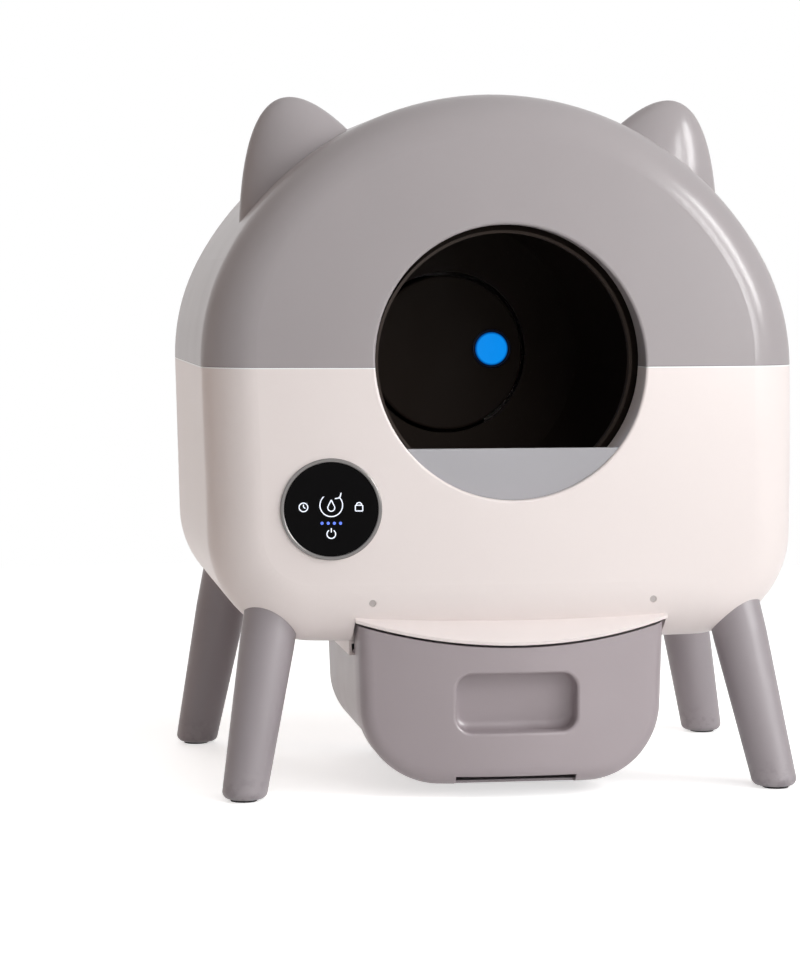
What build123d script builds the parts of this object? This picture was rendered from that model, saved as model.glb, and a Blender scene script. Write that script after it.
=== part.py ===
from build123d import *
import os
from functools import lru_cache
from math import acos, asin, atan2, cos, degrees, pi, radians, sin, sqrt, tan

# Self-cleaning litter box: a domed casing on four legs, a turning drum inside and a waste drawer under it.
# Millimetres. X is across, Y runs from the entrance at the front (negative) to the back, and Z is up
# from the ground.

# Casing
BODY_WIDTH = 600.0            # across the shoulders
BODY_DEPTH = 500.0            # foremost point of the front to the flat back
UNDERSIDE = 148.0             # casing floor above the ground
SHOULDER_HEIGHT = UNDERSIDE + 0.46 * BODY_WIDTH     # height of the widest line
DOME_RISE = 0.447 * BODY_WIDTH                      # dome top above the shoulder
SHOULDER_RADIUS = 0.367 * BODY_WIDTH                # side arcs of the arch
CORNER_RADIUS = 0.175 * BODY_WIDTH                  # bottom corners seen from the front
CROWN_RADIUS = 2.5 * BODY_WIDTH                     # ball radius of the front face
CROWN_HEIGHT = UNDERSIDE + 0.07 * BODY_WIDTH        # foremost point of the front face
SIDE_DRAFT = 1.5              # degrees, sides below the shoulder
FRONT_EDGE_RADIUS = 60.0
BACK_EDGE_RADIUS = 45.0
WALL = 3.0
SEAM_HEIGHT = SHOULDER_HEIGHT - 4.0                 # joint between the grey dome and the white tub

# Tabs that locate the dome in the tub
TAB_LENGTH = 46.0
TAB_DROP = 14.0
TAB_WALL = 2.6
TAB_SPACING = 190.0
TAB_GAP = 0.4

# Cat ears: each reach of a section is a factor times a power of the drop below the tip
EAR_SPREAD = 0.331 * BODY_WIDTH                     # tip from the middle plane
EAR_SETBACK = 0.406 * BODY_DEPTH                    # tip behind the foremost point
EAR_TIP_RISE = 0.5            # tip above the dome
EAR_ROOT = BODY_WIDTH / 4     # length of the ear along its axis, to the buried root
EAR_GIRTH = 7.8               # radius 1 mm below the apex; it grows with the square root of the depth
EAR_FLATNESS = 0.59           # thickness from front to back as a share of the width
EAR_LEAN = 18.5               # degrees, outwards

# Entrance
ENTRY_HEIGHT = SHOULDER_HEIGHT + 1.0                # axis of the entrance and of the drum
ENTRY_RADIUS = 0.225 * BODY_WIDTH
RIM_DEPTH = 60.0              # foremost point to the back of the rim
RIM_EDGE_RADIUS = 2.5
GUARD_SETBACK = 13.0          # guard behind the foremost point
GUARD_DROP = 0.14 * BODY_WIDTH                      # guard's top edge below the axis
GUARD_WALL = 4.0
GUARD_EDGE_RADIUS = 1.8
GUARD_GAP = 0.3
LEDGE_WIDTH = 5.0             # inward ledge behind the guard
LEDGE_WALL = 3.0

# Drum
DRUM_WALL = 3.0
DRUM_RADIUS = BODY_WIDTH / 2 - 75.0
NECK_RADIUS = ENTRY_RADIUS - 5.0
NECK_GAP = 5.0                # rim to neck
NECK_LENGTH = 8.0
FRONT_CONE = 57.0
BARREL_LENGTH = BODY_DEPTH - 265.0
REAR_CONE = 65.0
DISC_RADIUS = DRUM_RADIUS * 2 / 3                   # flat back of the drum
HUB_RADIUS = 0.4 * DRUM_RADIUS                      # hole in the back for the lamp module
DRUM_ROUND = 18.0             # corner between cone and barrel
SPLIT_SHARE = 0.65            # joint of the two drum halves, as a share of the barrel
FLANGE_RADIUS = DRUM_RADIUS + 9.0
FLANGE_WALL = 4.0
PORT_WIDTH = BODY_WIDTH / 4
PORT_LENGTH = 0.41 * BARREL_LENGTH
PORT_FRONT = 12.0             # port behind the barrel's front end
PORT_CORNER = 18.0
DRUM_SCREWS = 8

# Sieve inside the drum
SIEVE_WALL = 3.0
SIEVE_START = 116.0           # degrees round from the right, ends of the sieve on the drum wall
SIEVE_END = 176.0
SIEVE_SAG = 26.0              # bulge of the sieve away from its chord
SIEVE_LENGTH = PORT_LENGTH
SIEVE_SLOTS = 9
SIEVE_SLOTTED = 0.8           # share of the arc that has slots
SIEVE_SLOT_WIDTH = 7.0
SIEVE_EDGE = 12.0
SIEVE_GAP = 0.3

# Gear train
GEAR_MODULE = 4.0
RING_TEETH = 2 * round((DRUM_RADIUS + 15.0) / GEAR_MODULE)
PINION_TEETH = 18
PRESSURE_ANGLE = radians(20.0)
BACKLASH = 0.7
ROOT_DEPTH = 1.25             # of a tooth below the pitch line, in modules
RING_FACE = 14.0
RING_BORE_GAP = 1.0
PINION_FACE = 18.0
PINION_HUB_RADIUS = 10.0
PINION_HUB_LENGTH = 3.0
PINION_ANGLE = 48.0           # degrees from straight down towards the right
GEAR_GAP = 0.15               # extra centre distance
SHAFT_RADIUS = 5.0
SHAFT_REACH = 13.0            # shaft's length in the gearbox
SHAFT_GAP = 0.05

# Motor
GEARBOX_RADIUS = 23.0
GEARBOX_LENGTH = 26.0
MOTOR_RADIUS = 18.0
MOTOR_LENGTH = 52.0
MOTOR_BOSS_RADIUS = 6.0
MOTOR_PLATE = 4.0
MOTOR_PLATE_MARGIN = 7.0
MOTOR_SCREW_CIRCLE = 17.0
MOTOR_SCREW_REACH = 8.5       # screw's length in the gearbox
MOTOR_SCREW_HEAD = 1.6
PLATE_GAP = 2.0               # plate to pinion
MOTOR_FOOT_WIDTH = 38.0
MOTOR_FOOT_DEPTH = 30.0
MOTOR_FOOT_OFFSET = 36.0      # foot's middle inwards from the motor's axis

# Rollers
ROLLER_RADIUS = 16.0
ROLLER_WIDTH = 18.0
ROLLER_GAP = 0.3              # roller to drum
ROLLER_SIDE_GAP = 0.5
ROLLER_ANGLE = 32.0           # degrees from straight down
ROLLER_EDGE = 1.5
ROLLER_FROM_END = 30.0        # roller's middle from the barrel's ends
AXLE_RADIUS = 4.0
CHEEK_WALL = 4.0
CHEEK_RADIUS = 11.0
BRACKET_WIDTH = 46.0
BRACKET_FOOT = 4.0
BRACKET_TOE = 11.0            # foot beyond the cheeks

# Legs
LEG_SPLAY = 10.5              # degrees, sideways
FRONT_LEG_RAKE = 15.0         # degrees, forwards
REAR_LEG_RAKE = 4.0           # degrees, backwards
LEG_RADIUS = 27.0
FOOT_RADIUS = 21.0
FOOT_EDGE_RADIUS = 7.0
FRONT_FOOT_INSET = 33.0       # foot's middle inside the casing's side
REAR_FOOT_INSET = 15.0
FRONT_FOOT_SETBACK = 10.0     # foot's middle behind the foremost point
REAR_FOOT_SETBACK = 122.0     # foot's middle before the back
PAD_WALL = 2.0
PAD_RADIUS = 13.0
SOCKET_DEPTH = 54.0           # leg's length above the underside
SOCKET_GAP = 0.3
SOCKET_WALL = 4.0
MOUTH_RADIUS = 30.0           # widened mouth of the socket
MOUTH_SHIFT = 3.0             # mouth's middle towards the middle of the casing
MOUTH_DEPTH = 8.0
CELL_WALL = 6.0               # weight cell on top of the leg
CELL_RADIUS = 24.0

# Lip and notch over the drawer
LIP_CREASE_HEIGHT = UNDERSIDE + 26.0
LIP_CREASE_SETBACK = 15.0     # crease behind the foremost point
LIP_SLOPE = 36.0              # degrees
LIP_GAP = 2.5                 # lip to drawer front
NOTCH_GAP = 3.0               # side gap of the drawer front

# Drawer
DRAWER_WIDTH = 0.51 * BODY_WIDTH
DRAWER_BOTTOM = 12.0          # above the ground
DRAWER_TAPER = 5.0            # narrowing of each side towards the bottom
DRAWER_CORNER = 76.0
DRAWER_WALL = 2.6
DRAWER_BOW_RADIUS = 432.0     # front seen from above
DRAWER_PROUD = 14.0           # front before the foremost point of the casing
DRAWER_CAP_DEPTH = 69.0       # drawer front from bow to back edge
DRAWER_EDGE_RADIUS = 18.0
HANDLE_WIDTH = 120.0
HANDLE_HEIGHT = 58.0
HANDLE_MIDDLE = 93.0          # above the ground
HANDLE_CORNER = 16.0
HANDLE_DEPTH = 30.0
HANDLE_EDGE_RADIUS = 3.0      # rim of the pocket
HANDLE_FLOOR_RADIUS = 8.0
GRIP_WIDTH = 120.0
GRIP_HEIGHT = 9.0
GRIP_DEPTH = 24.0
BIN_WIDTH = DRAWER_WIDTH - 14.0
BIN_LENGTH = 0.576 * BODY_DEPTH
BIN_TOP = UNDERSIDE - 8.0     # above the ground
BIN_LIFT = 4.0                # bin's bottom above that of the drawer front
BIN_CORNER = 68.0
BIN_BACK_RADIUS = 24.0
BIN_FLANGE = 7.0
BIN_FLANGE_WALL = 3.2
BAG_FRAME_WIDTH = 19.0
BAG_FRAME_WALL = 3.0
BAG_FRAME_LIP = 7.0
BAG_FRAME_GAP = 0.4
CAP_POST_RADIUS = 6.0
CAP_POST_SPREAD = DRAWER_WIDTH / 2 - 53.0
CAP_POST_LOW = 62.0
CAP_POST_HIGH = 120.0
CAP_SCREW_REACH = 20.0        # screw's length in its post

# Drawer rails
RAIL_WALL = 2.5
RAIL_SIDE_GAP = 1.0
RAIL_SEAT_GAP = 0.3
RAIL_SHELF = 5.0
RAIL_PAST_BIN = 15.0
RAIL_SCREW_INSET = 52.0

# Chute through the floor
CHUTE_WIDTH = 0.3 * BODY_WIDTH
CHUTE_LENGTH = PORT_LENGTH
CHUTE_COLLAR = 12.0

# Control panel
PANEL_ACROSS = -0.3 * BODY_WIDTH
PANEL_HEIGHT = UNDERSIDE + 0.225 * BODY_WIDTH
PANEL_RADIUS = 49.5
PANEL_SINK = 1.3              # seat below the surface at the middle
PANEL_BOSS_DEPTH = 8.0
PANEL_BOSS_WALL = 4.0
BEZEL_WIDTH = 3.6
BEZEL_RISE = 2.2
BEZEL_ROUND = 1.2
GLASS_RISE = 1.2
GLASS_GAP = 0.2
PANEL_BOARD_RADIUS = 38.0
PANEL_BOARD_WALL = 2.0
PANEL_HOLE_RADIUS = 40.0

# Screw plugs over the lip
PLUG_SPREAD = DRAWER_WIDTH / 2 - 13.0
PLUG_HEIGHT = UNDERSIDE + 43.0
PLUG_RADIUS = 3.3
PLUG_SINK = 1.0
PLUG_GAP = 0.2

# Rear lamp module
MODULE_RADIUS = HUB_RADIUS - 4.0
MODULE_REACH = 4.0            # module's face before the drum's back
MODULE_WALL = 3.0
MODULE_BACK_GAP = 6.0         # module to the casing's back wall
MODULE_PLATE_WIDTH = 110.0
MODULE_PLATE_DROP = 110.0     # plate's bottom below the drum's axis
MODULE_PLATE_GAP = 6.0        # plate's top below the seam
LAMP_ACROSS = 0.6 * MODULE_RADIUS
LAMP_RISE = 4.0               # above the drum's axis
LAMP_RADIUS = 18.5
LAMP_SEAT = 2.0
LAMP_DOME = 3.0
LAMP_EDGE_RADIUS = 1.8
LAMP_GAP = 0.2
LAMP_BOARD_WALL = 1.6
LAMP_BOARD_RADIUS = 17.0

# Main board and power inlet
BOARD_WIDTH = 110.0
BOARD_DEPTH = 60.0
BOARD_WALL = 1.6
BOARD_STANDOFF = 9.0
BOARD_STANDOFF_RADIUS = 4.5
BOARD_FROM_BACK = 90.0
BOARD_ACROSS = -40.0
BOARD_HOLE_INSET = 7.0
CHIP_WIDTH = 18.0
CHIP_HEIGHT = 3.0
RELAY_WIDTH = 18.0
RELAY_DEPTH = 14.0
RELAY_HEIGHT = 11.0
INLET_ACROSS = BODY_WIDTH / 4
INLET_HEIGHT = UNDERSIDE + 84.0
INLET_RADIUS = 7.0
INLET_FLANGE = 10.0
INLET_FLANGE_WALL = 2.0
INLET_LENGTH = 20.0
INLET_BORE = 3.2
INLET_BORE_DEPTH = 11.0
INLET_PIN = 1.0
INLET_GAP = 0.1

# Screws
SCREW_RADIUS = 2.0
SCREW_HEAD_RADIUS = 3.8
SCREW_HEAD = 2.4
SCREW_GAP = 0.1
LEG_SCREW_RADIUS = 4.0
LEG_SCREW_HEAD_RADIUS = 8.0
LEG_SCREW_HEAD = 4.0
LEG_SCREW_GRIP = 26.0         # length in the leg

# Places worked out from the sizes
FRONT = DRAWER_PROUD - (BODY_DEPTH + DRAWER_PROUD) / 2
BACK = FRONT + BODY_DEPTH
DOME_TOP = SHOULDER_HEIGHT + DOME_RISE
FLOOR = UNDERSIDE + WALL
RIM_BACK = FRONT + RIM_DEPTH
NECK_FRONT = RIM_BACK + NECK_GAP
CONE_FRONT = NECK_FRONT + NECK_LENGTH
BARREL_FRONT = CONE_FRONT + FRONT_CONE
BARREL_BACK = BARREL_FRONT + BARREL_LENGTH
DRUM_BACK = BARREL_BACK + REAR_CONE
DRUM_SPLIT = BARREL_FRONT + SPLIT_SHARE * BARREL_LENGTH
DRUM_AXIS = Axis((0, 0, ENTRY_HEIGHT), (0, 1, 0))
RING_FRONT = DRUM_SPLIT + FLANGE_WALL
RING_PITCH = GEAR_MODULE * RING_TEETH / 2
PINION_PITCH = GEAR_MODULE * PINION_TEETH / 2
GEAR_CENTRES = RING_PITCH + PINION_PITCH + GEAR_GAP
PINION_FRONT = RING_FRONT + (RING_FACE - PINION_FACE) / 2
ROLLER_CENTRES = DRUM_RADIUS + ROLLER_GAP + ROLLER_RADIUS
ROLLER_PLACES = {"front": BARREL_FRONT + ROLLER_FROM_END, "rear": BARREL_BACK - ROLLER_FROM_END}
SIDES = {"left": -1, "right": 1}
ENDS = {"front": -1, "rear": 1}
DRAWER_FRONT = FRONT - DRAWER_PROUD
CAP_BACK = DRAWER_FRONT + DRAWER_CAP_DEPTH
BIN_BACK = CAP_BACK + BIN_LENGTH
NOTCH_HALF = DRAWER_WIDTH / 2 + NOTCH_GAP
NOTCH_BACK = CAP_BACK + NOTCH_GAP
RAIL_OUTER = BIN_WIDTH / 2 + BIN_FLANGE + RAIL_SIDE_GAP + RAIL_WALL
FLANGE_BOTTOM = BIN_TOP - BIN_FLANGE_WALL
RAIL_BOTTOM = FLANGE_BOTTOM - RAIL_SEAT_GAP - RAIL_WALL
FROM_BASE = (Align.CENTER, Align.CENTER, Align.MIN)


def front_plane(y):
    """Drawing plane seen from the front at depth y: sketch x is across and sketch y is up."""
    return Plane((0, y, 0), x_dir=(1, 0, 0), z_dir=(0, -1, 0))


def slab(sketch, y_front, y_back):
    """A front-view sketch given depth."""
    return extrude(front_plane(y_back) * sketch, y_back - y_front)


def turned(sketch):
    """A half section, radius across and depth up, turned round the drum's axis."""
    return revolve(Plane((0, 0, ENTRY_HEIGHT)) * sketch, DRUM_AXIS)


def block(x_span, y_span, z_span):
    """Upright block between its low and high faces."""
    size = [high - low for low, high in (x_span, y_span, z_span)]
    middle = [(high + low) / 2 for low, high in (x_span, y_span, z_span)]
    return Pos(*middle) * Box(*size)


def rod(radius, low, high):
    """Round bar along Z between two heights."""
    return Pos(0, 0, low) * Cylinder(radius, high - low, align=FROM_BASE)


def bar_along_y(radius, x, z, y_front, y_back):
    """Round bar along Y."""
    return slab(Pos(x, z) * Circle(radius), y_front, y_back)


def polar(radius, angle):
    """Front-view point at an angle in degrees from the right, about the drum's axis."""
    return radius * cos(radians(angle)), ENTRY_HEIGHT + radius * sin(radians(angle))


def casing_outline(inset):
    """Front view of the casing drawn in by inset: a three-centre arch on drafted sides with round corners."""
    half = BODY_WIDTH / 2 - inset
    rise = DOME_RISE - inset
    side = SHOULDER_RADIUS - inset
    corner = CORNER_RADIUS - inset
    bottom = UNDERSIDE + inset
    side_x = half - side
    top = (side_x**2 + rise**2 - side**2) / (2 * (rise - side))
    meet = degrees(atan2(top - rise, side_x))
    draft = radians(SIDE_DRAFT)
    side_low = Vector(side_x + side * cos(draft), SHOULDER_HEIGHT - side * sin(draft))
    reach = side_low.X * cos(draft) - side_low.Y * sin(draft)
    corner_x = (reach - corner + (bottom + corner) * sin(draft)) / cos(draft)
    corner_high = Vector(corner_x + corner * cos(draft), bottom + corner - corner * sin(draft))
    half_outline = Curve() + [
        CenterArc((0, SHOULDER_HEIGHT + rise - top), top, meet, 90 - meet),
        CenterArc((side_x, SHOULDER_HEIGHT), side, -SIDE_DRAFT, meet + SIDE_DRAFT),
        Line(side_low, corner_high),
        CenterArc((corner_x, bottom + corner), corner, -90, 90 - SIDE_DRAFT),
        Line((corner_x, bottom), (0, bottom)),
    ]
    return make_face((half_outline + mirror(half_outline, Plane.YZ)).edges())


@lru_cache
def casing_form(inset):
    """The whole casing as a solid drawn in by inset: crowned front, flat back, round edges."""
    ball = Pos(0, FRONT + CROWN_RADIUS, CROWN_HEIGHT) * Sphere(CROWN_RADIUS - inset)
    form = slab(casing_outline(inset), FRONT, BACK - inset) & ball
    crown = form.faces().filter_by(GeomType.SPHERE)
    form = fillet(crown.edges(), FRONT_EDGE_RADIUS - inset)
    back = form.faces().sort_by(Axis.Y)[-1]
    return fillet(back.edges(), BACK_EDGE_RADIUS - inset)


def ear_form(side, inset):
    """One ear drawn in by inset: a flattened paraboloid that leans outwards, with its highest point at the tip."""
    radius = EAR_GIRTH * sqrt(EAR_ROOT)
    flank = Bezier((0, 0), (radius / 2, 0), (radius, -EAR_ROOT))
    half = Curve() + [flank, Line((radius, -EAR_ROOT), (0, -EAR_ROOT)), Line((0, -EAR_ROOT), (0, 0))]
    ear = scale(revolve(Plane.XZ * make_face(half.edges()), Axis.Z), by=(1, EAR_FLATNESS, 1))
    lean = radians(EAR_LEAN)
    run = EAR_GIRTH * tan(lean) / 2
    apex_x = EAR_SPREAD + run * (EAR_GIRTH * cos(lean) + run * sin(lean))
    apex_z = DOME_TOP + EAR_TIP_RISE - run**2 * cos(lean)
    return Pos(side * apex_x, FRONT + EAR_SETBACK, apex_z - 2 * inset) * Rot(0, side * EAR_LEAN, 0) * ear


def guard_span():
    """Front and back of the guard."""
    return FRONT + GUARD_SETBACK, FRONT + GUARD_SETBACK + GUARD_WALL


def rim_ring():
    """Rim round the entrance, with the ledge that the guard leans on."""
    middle = Pos(0, ENTRY_HEIGHT)
    whole = middle * Circle(ENTRY_RADIUS + WALL)
    ring = slab(whole - middle * Circle(ENTRY_RADIUS), FRONT, RIM_BACK)
    seat = guard_span()[1]
    ledge = slab(whole - middle * Circle(ENTRY_RADIUS - LEDGE_WIDTH), seat, seat + LEDGE_WALL)
    return ring + (ledge - above_seam(ENTRY_HEIGHT - GUARD_DROP - LEDGE_WALL))


def on_rim(edge):
    """Whether an edge is the front edge of the entrance."""
    middle = edge.center()
    reach = sqrt(middle.X**2 + (middle.Z - ENTRY_HEIGHT) ** 2)
    return edge.geom_type == GeomType.BSPLINE and abs(reach - ENTRY_RADIUS) < WALL / 4


@lru_cache
def casing_shell():
    """The whole hollow casing with its ears and rim, before it is parted at the seam."""
    ears_out = [ear_form(side, 0) for side in SIDES.values()]
    ears_in = [ear_form(side, WALL) for side in SIDES.values()]
    shell = casing_form(0) + ears_out - (casing_form(WALL) + ears_in)
    shell -= bar_along_y(ENTRY_RADIUS + WALL / 2, 0, ENTRY_HEIGHT, FRONT - WALL, RIM_BACK)
    shell += rim_ring() & casing_form(0)
    rim = shell.edges().filter_by(on_rim)
    return fillet(rim, RIM_EDGE_RADIUS)


def above_seam(low=SEAM_HEIGHT):
    """Everything higher than a level, as a block larger than the casing."""
    return block((-BODY_WIDTH, BODY_WIDTH), (FRONT - BODY_DEPTH, BACK + BODY_DEPTH), (low, low + BODY_WIDTH))


def locating_tabs():
    """Tabs on the dome's side walls that drop inside the tub, with roots in the dome's wall."""
    behind = casing_form(WALL + TAB_GAP + TAB_WALL)
    middle = (FRONT + BACK) / 2
    tabs = []
    for side in SIDES.values():
        for y in (middle - TAB_SPACING / 2, middle + TAB_SPACING / 2):
            y_span = (y - TAB_LENGTH / 2, y + TAB_LENGTH / 2)
            x_span = sorted((side * BODY_WIDTH / 4, side * BODY_WIDTH / 2))
            hanging = block(x_span, y_span, (SEAM_HEIGHT - TAB_DROP, SEAM_HEIGHT + TAB_DROP))
            root = block(x_span, y_span, (SEAM_HEIGHT + TAB_GAP, SEAM_HEIGHT + TAB_DROP))
            tabs.append((hanging & casing_form(WALL + TAB_GAP)) - behind)
            tabs.append((root & casing_form(WALL / 2)) - behind)
    return tabs


def upper_shell():
    """Grey dome with its ears and the upper half of the rim."""
    dome = (casing_shell() & above_seam()) + locating_tabs()
    return dome.fix()


def leg_lean(end):
    """Run of a leg per height, sideways and fore or aft."""
    rake = FRONT_LEG_RAKE if end < 0 else REAR_LEG_RAKE
    return tan(radians(LEG_SPLAY)), tan(radians(rake))


def leg_plane(side, end):
    """Plane at a foot's middle on the ground, with Z up along the leg."""
    inset = FRONT_FOOT_INSET if end < 0 else REAR_FOOT_INSET
    depth = FRONT + FRONT_FOOT_SETBACK if end < 0 else BACK - REAR_FOOT_SETBACK
    foot = (side * (BODY_WIDTH / 2 - inset), depth, 0)
    across, along = leg_lean(end)
    return Plane(foot, z_dir=(-side * across, -end * along, 1))


def along_leg(height, end):
    """Distance along a leg from the ground to a height."""
    across, along = leg_lean(end)
    return height * sqrt(1 + across**2 + along**2)


def leg_top(end):
    """Top of a leg, along the leg."""
    return along_leg(UNDERSIDE + SOCKET_DEPTH, end)


def leg_places():
    """Name, side and end of each leg."""
    return [(f"{end}_{side}", SIDES[side], ENDS[end]) for end in ENDS for side in SIDES]


def leg(side, end):
    """Leg: a tapering foot and a straight top that fills the socket, cut level at the pad."""
    start = -FOOT_RADIUS
    neck = along_leg(UNDERSIDE, end)
    top = leg_top(end)
    body = Pos(0, 0, start) * Cone(FOOT_RADIUS, LEG_RADIUS, neck - start, align=FROM_BASE)
    body += rod(LEG_RADIUS, neck, top)
    body -= rod(LEG_SCREW_RADIUS + SCREW_GAP, top - LEG_SCREW_GRIP - SCREW_GAP, top)
    body = (leg_plane(side, end) * body) & above_seam(PAD_WALL)
    sole = body.faces().sort_by(Axis.Z)[0]
    return fillet(sole.edges(), FOOT_EDGE_RADIUS)


def foot_pads():
    """A pad under each leg."""
    pads = []
    for _, side, end in leg_places():
        foot = leg_plane(side, end).origin
        across, along = leg_lean(end)
        middle = (foot.X - side * across * PAD_WALL, foot.Y - end * along * PAD_WALL)
        pads.append(Pos(*middle, 0) * rod(PAD_RADIUS, 0, PAD_WALL))
    return pads


def weight_cells():
    """A ring-shaped weight cell on top of each leg."""
    cells = []
    for _, side, end in leg_places():
        low, high = leg_top(end), leg_top(end) + CELL_WALL
        ring = rod(CELL_RADIUS, low, high) - rod(LEG_SCREW_RADIUS + SCREW_GAP, low, high)
        cells.append(leg_plane(side, end) * ring)
    return cells


def leg_screws():
    """A screw down through each socket's ceiling and weight cell into the leg."""
    screws = []
    for _, side, end in leg_places():
        seat = leg_top(end) + CELL_WALL + SOCKET_WALL
        screw = rod(LEG_SCREW_RADIUS, leg_top(end) - LEG_SCREW_GRIP, seat)
        screw += rod(LEG_SCREW_HEAD_RADIUS, seat, seat + LEG_SCREW_HEAD)
        screws.append(leg_plane(side, end) * screw)
    return screws


def socket_post(end):
    """Post that a left leg goes into, still solid and cut to the middle of the casing's wall."""
    radius = MOUTH_RADIUS + MOUTH_SHIFT + SOCKET_WALL
    post = rod(LEG_RADIUS + SOCKET_GAP + SOCKET_WALL, 0, leg_top(end) + CELL_WALL + SOCKET_WALL)
    post += rod(radius, 0, along_leg(UNDERSIDE + MOUTH_DEPTH + SOCKET_WALL, end))
    return (leg_plane(SIDES["left"], end) * post) & casing_form(WALL / 2)


def socket_hollow(end):
    """The bore for a left leg, its screw hole and its widened mouth, drawn towards the casing's middle."""
    plane = leg_plane(SIDES["left"], end)
    top = leg_top(end) + CELL_WALL
    hollow = plane * rod(LEG_RADIUS + SOCKET_GAP, 0, top)
    hollow += plane * rod(LEG_SCREW_RADIUS + SCREW_GAP, leg_top(end), top + SOCKET_WALL)
    shift = MOUTH_SHIFT / sqrt(2)
    mouth = plane * rod(MOUTH_RADIUS, 0, along_leg(UNDERSIDE + MOUTH_DEPTH, end))
    return hollow + Pos(shift, -end * shift, 0) * mouth


def leg_sockets():
    """Posts for all four legs, and the hollows in them: the left ones and their mirror images."""
    posts = [socket_post(end) for end in ENDS.values()]
    hollows = [socket_hollow(end) for end in ENDS.values()]
    return [[*shapes, *[mirror(shape, Plane.YZ) for shape in shapes]] for shapes in (posts, hollows)]


def bow(inset):
    """Upright barrel whose front is the drawer's bowed front drawn in by inset."""
    middle = Pos(0, DRAWER_FRONT + DRAWER_BOW_RADIUS, 0)
    return middle * rod(DRAWER_BOW_RADIUS - inset, -UNDERSIDE, SHOULDER_HEIGHT)


def bow_depth(x):
    """Depth of the drawer's bowed front at a distance from the middle."""
    return DRAWER_FRONT + DRAWER_BOW_RADIUS - sqrt(DRAWER_BOW_RADIUS**2 - x**2)


def lip_height(y):
    """Height of the lip's top at a depth."""
    return LIP_CREASE_HEIGHT + (y - FRONT - LIP_CREASE_SETBACK) * tan(radians(LIP_SLOPE))


def lip_band(low, high, half):
    """Sloping band parallel to the lip, between two offsets from the lip's top."""
    y_span = (DRAWER_FRONT - WALL, NOTCH_BACK + WALL)
    corners = [(y_span[0], low), (y_span[1], low), (y_span[1], high), (y_span[0], high)]
    side_view = make_face(Polyline(*[(y, lip_height(y) + rise) for y, rise in corners], close=True))
    return extrude(Plane.YZ * side_view, half, both=True)


def drawer_notch():
    """Lip over the drawer with the walls round the notch, and the notch itself."""
    under = -UNDERSIDE
    notch = lip_band(under, -WALL, NOTCH_HALF)
    notch &= block((-NOTCH_HALF, NOTCH_HALF), (DRAWER_FRONT - WALL, NOTCH_BACK), (0, SHOULDER_HEIGHT))
    walls = lip_band(under, 0, NOTCH_HALF + WALL) & above_seam(UNDERSIDE) & casing_form(0)
    lip = lip_band(-WALL, 0, NOTCH_HALF) & bow(0)
    return walls, notch, lip


def panel_plane():
    """Plane touching the crowned front at the panel's middle, with Z out of the casing."""
    across, rise = PANEL_ACROSS, PANEL_HEIGHT - CROWN_HEIGHT
    depth = sqrt(CROWN_RADIUS**2 - across**2 - rise**2)
    place = (across, FRONT + CROWN_RADIUS - depth, PANEL_HEIGHT)
    level = (depth, across, 0)
    return Plane(place, x_dir=level, z_dir=(across, -depth, rise))


def panel_seat():
    """Thickened wall behind the panel, and the pocket and hole cut in it."""
    boss = panel_plane() * rod(PANEL_RADIUS + PANEL_BOSS_WALL, -PANEL_BOSS_DEPTH, PANEL_BOSS_DEPTH)
    pocket = rod(PANEL_RADIUS + GLASS_GAP, -PANEL_SINK, PANEL_BOSS_DEPTH)
    hole = rod(PANEL_HOLE_RADIUS, -2 * PANEL_BOSS_DEPTH, 0)
    return boss & casing_form(0), panel_plane() * (pocket + hole)


def panel_bezel():
    """Raised ring round the panel."""
    ring = rod(PANEL_RADIUS, -PANEL_SINK, BEZEL_RISE)
    ring -= rod(PANEL_RADIUS - BEZEL_WIDTH, -PANEL_SINK, BEZEL_RISE)
    top = ring.faces().sort_by(Axis.Z)[-1]
    return panel_plane() * fillet(top.edges(), BEZEL_ROUND)


def panel_glass():
    """Touch glass inside the bezel."""
    return panel_plane() * rod(PANEL_RADIUS - BEZEL_WIDTH - GLASS_GAP, -PANEL_SINK, GLASS_RISE)


def panel_board():
    """Board on the back of the glass."""
    return panel_plane() * rod(PANEL_BOARD_RADIUS, -PANEL_SINK - PANEL_BOARD_WALL, -PANEL_SINK)


def plug_bars(radius):
    """Bars through the front at the screw plugs."""
    places = [(side * PLUG_SPREAD, PLUG_HEIGHT) for side in SIDES.values()]
    return [bar_along_y(radius, *place, FRONT, NOTCH_BACK) for place in places]


def screw_plugs():
    """Plugs over two screws, sunk a little below the casing's surface."""
    return [(bar & casing_form(PLUG_SINK)) - casing_form(WALL) for bar in plug_bars(PLUG_RADIUS)]


def chute_front():
    """Front edge of the waste hole, below the drum's port."""
    return BARREL_FRONT + PORT_FRONT + (PORT_LENGTH - CHUTE_LENGTH) / 2


def chute():
    """Collar round the waste hole in the casing's floor, and the hole."""
    middle = chute_front() + CHUTE_LENGTH / 2
    hole = Rectangle(CHUTE_WIDTH, CHUTE_LENGTH)
    hole = fillet(hole.vertices(), PORT_CORNER)
    collar = Pos(0, middle, UNDERSIDE) * extrude(offset(hole, WALL), WALL + CHUTE_COLLAR)
    return collar, Pos(0, middle, 0) * extrude(hole, SHOULDER_HEIGHT)


def board_holes():
    """Places of the main board's screws."""
    middle = Pos(BOARD_ACROSS, BACK - BOARD_FROM_BACK, 0)
    spread = (BOARD_WIDTH - 2 * BOARD_HOLE_INSET, BOARD_DEPTH - 2 * BOARD_HOLE_INSET)
    return [middle * place for place in GridLocations(*spread, 2, 2)]


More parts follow.
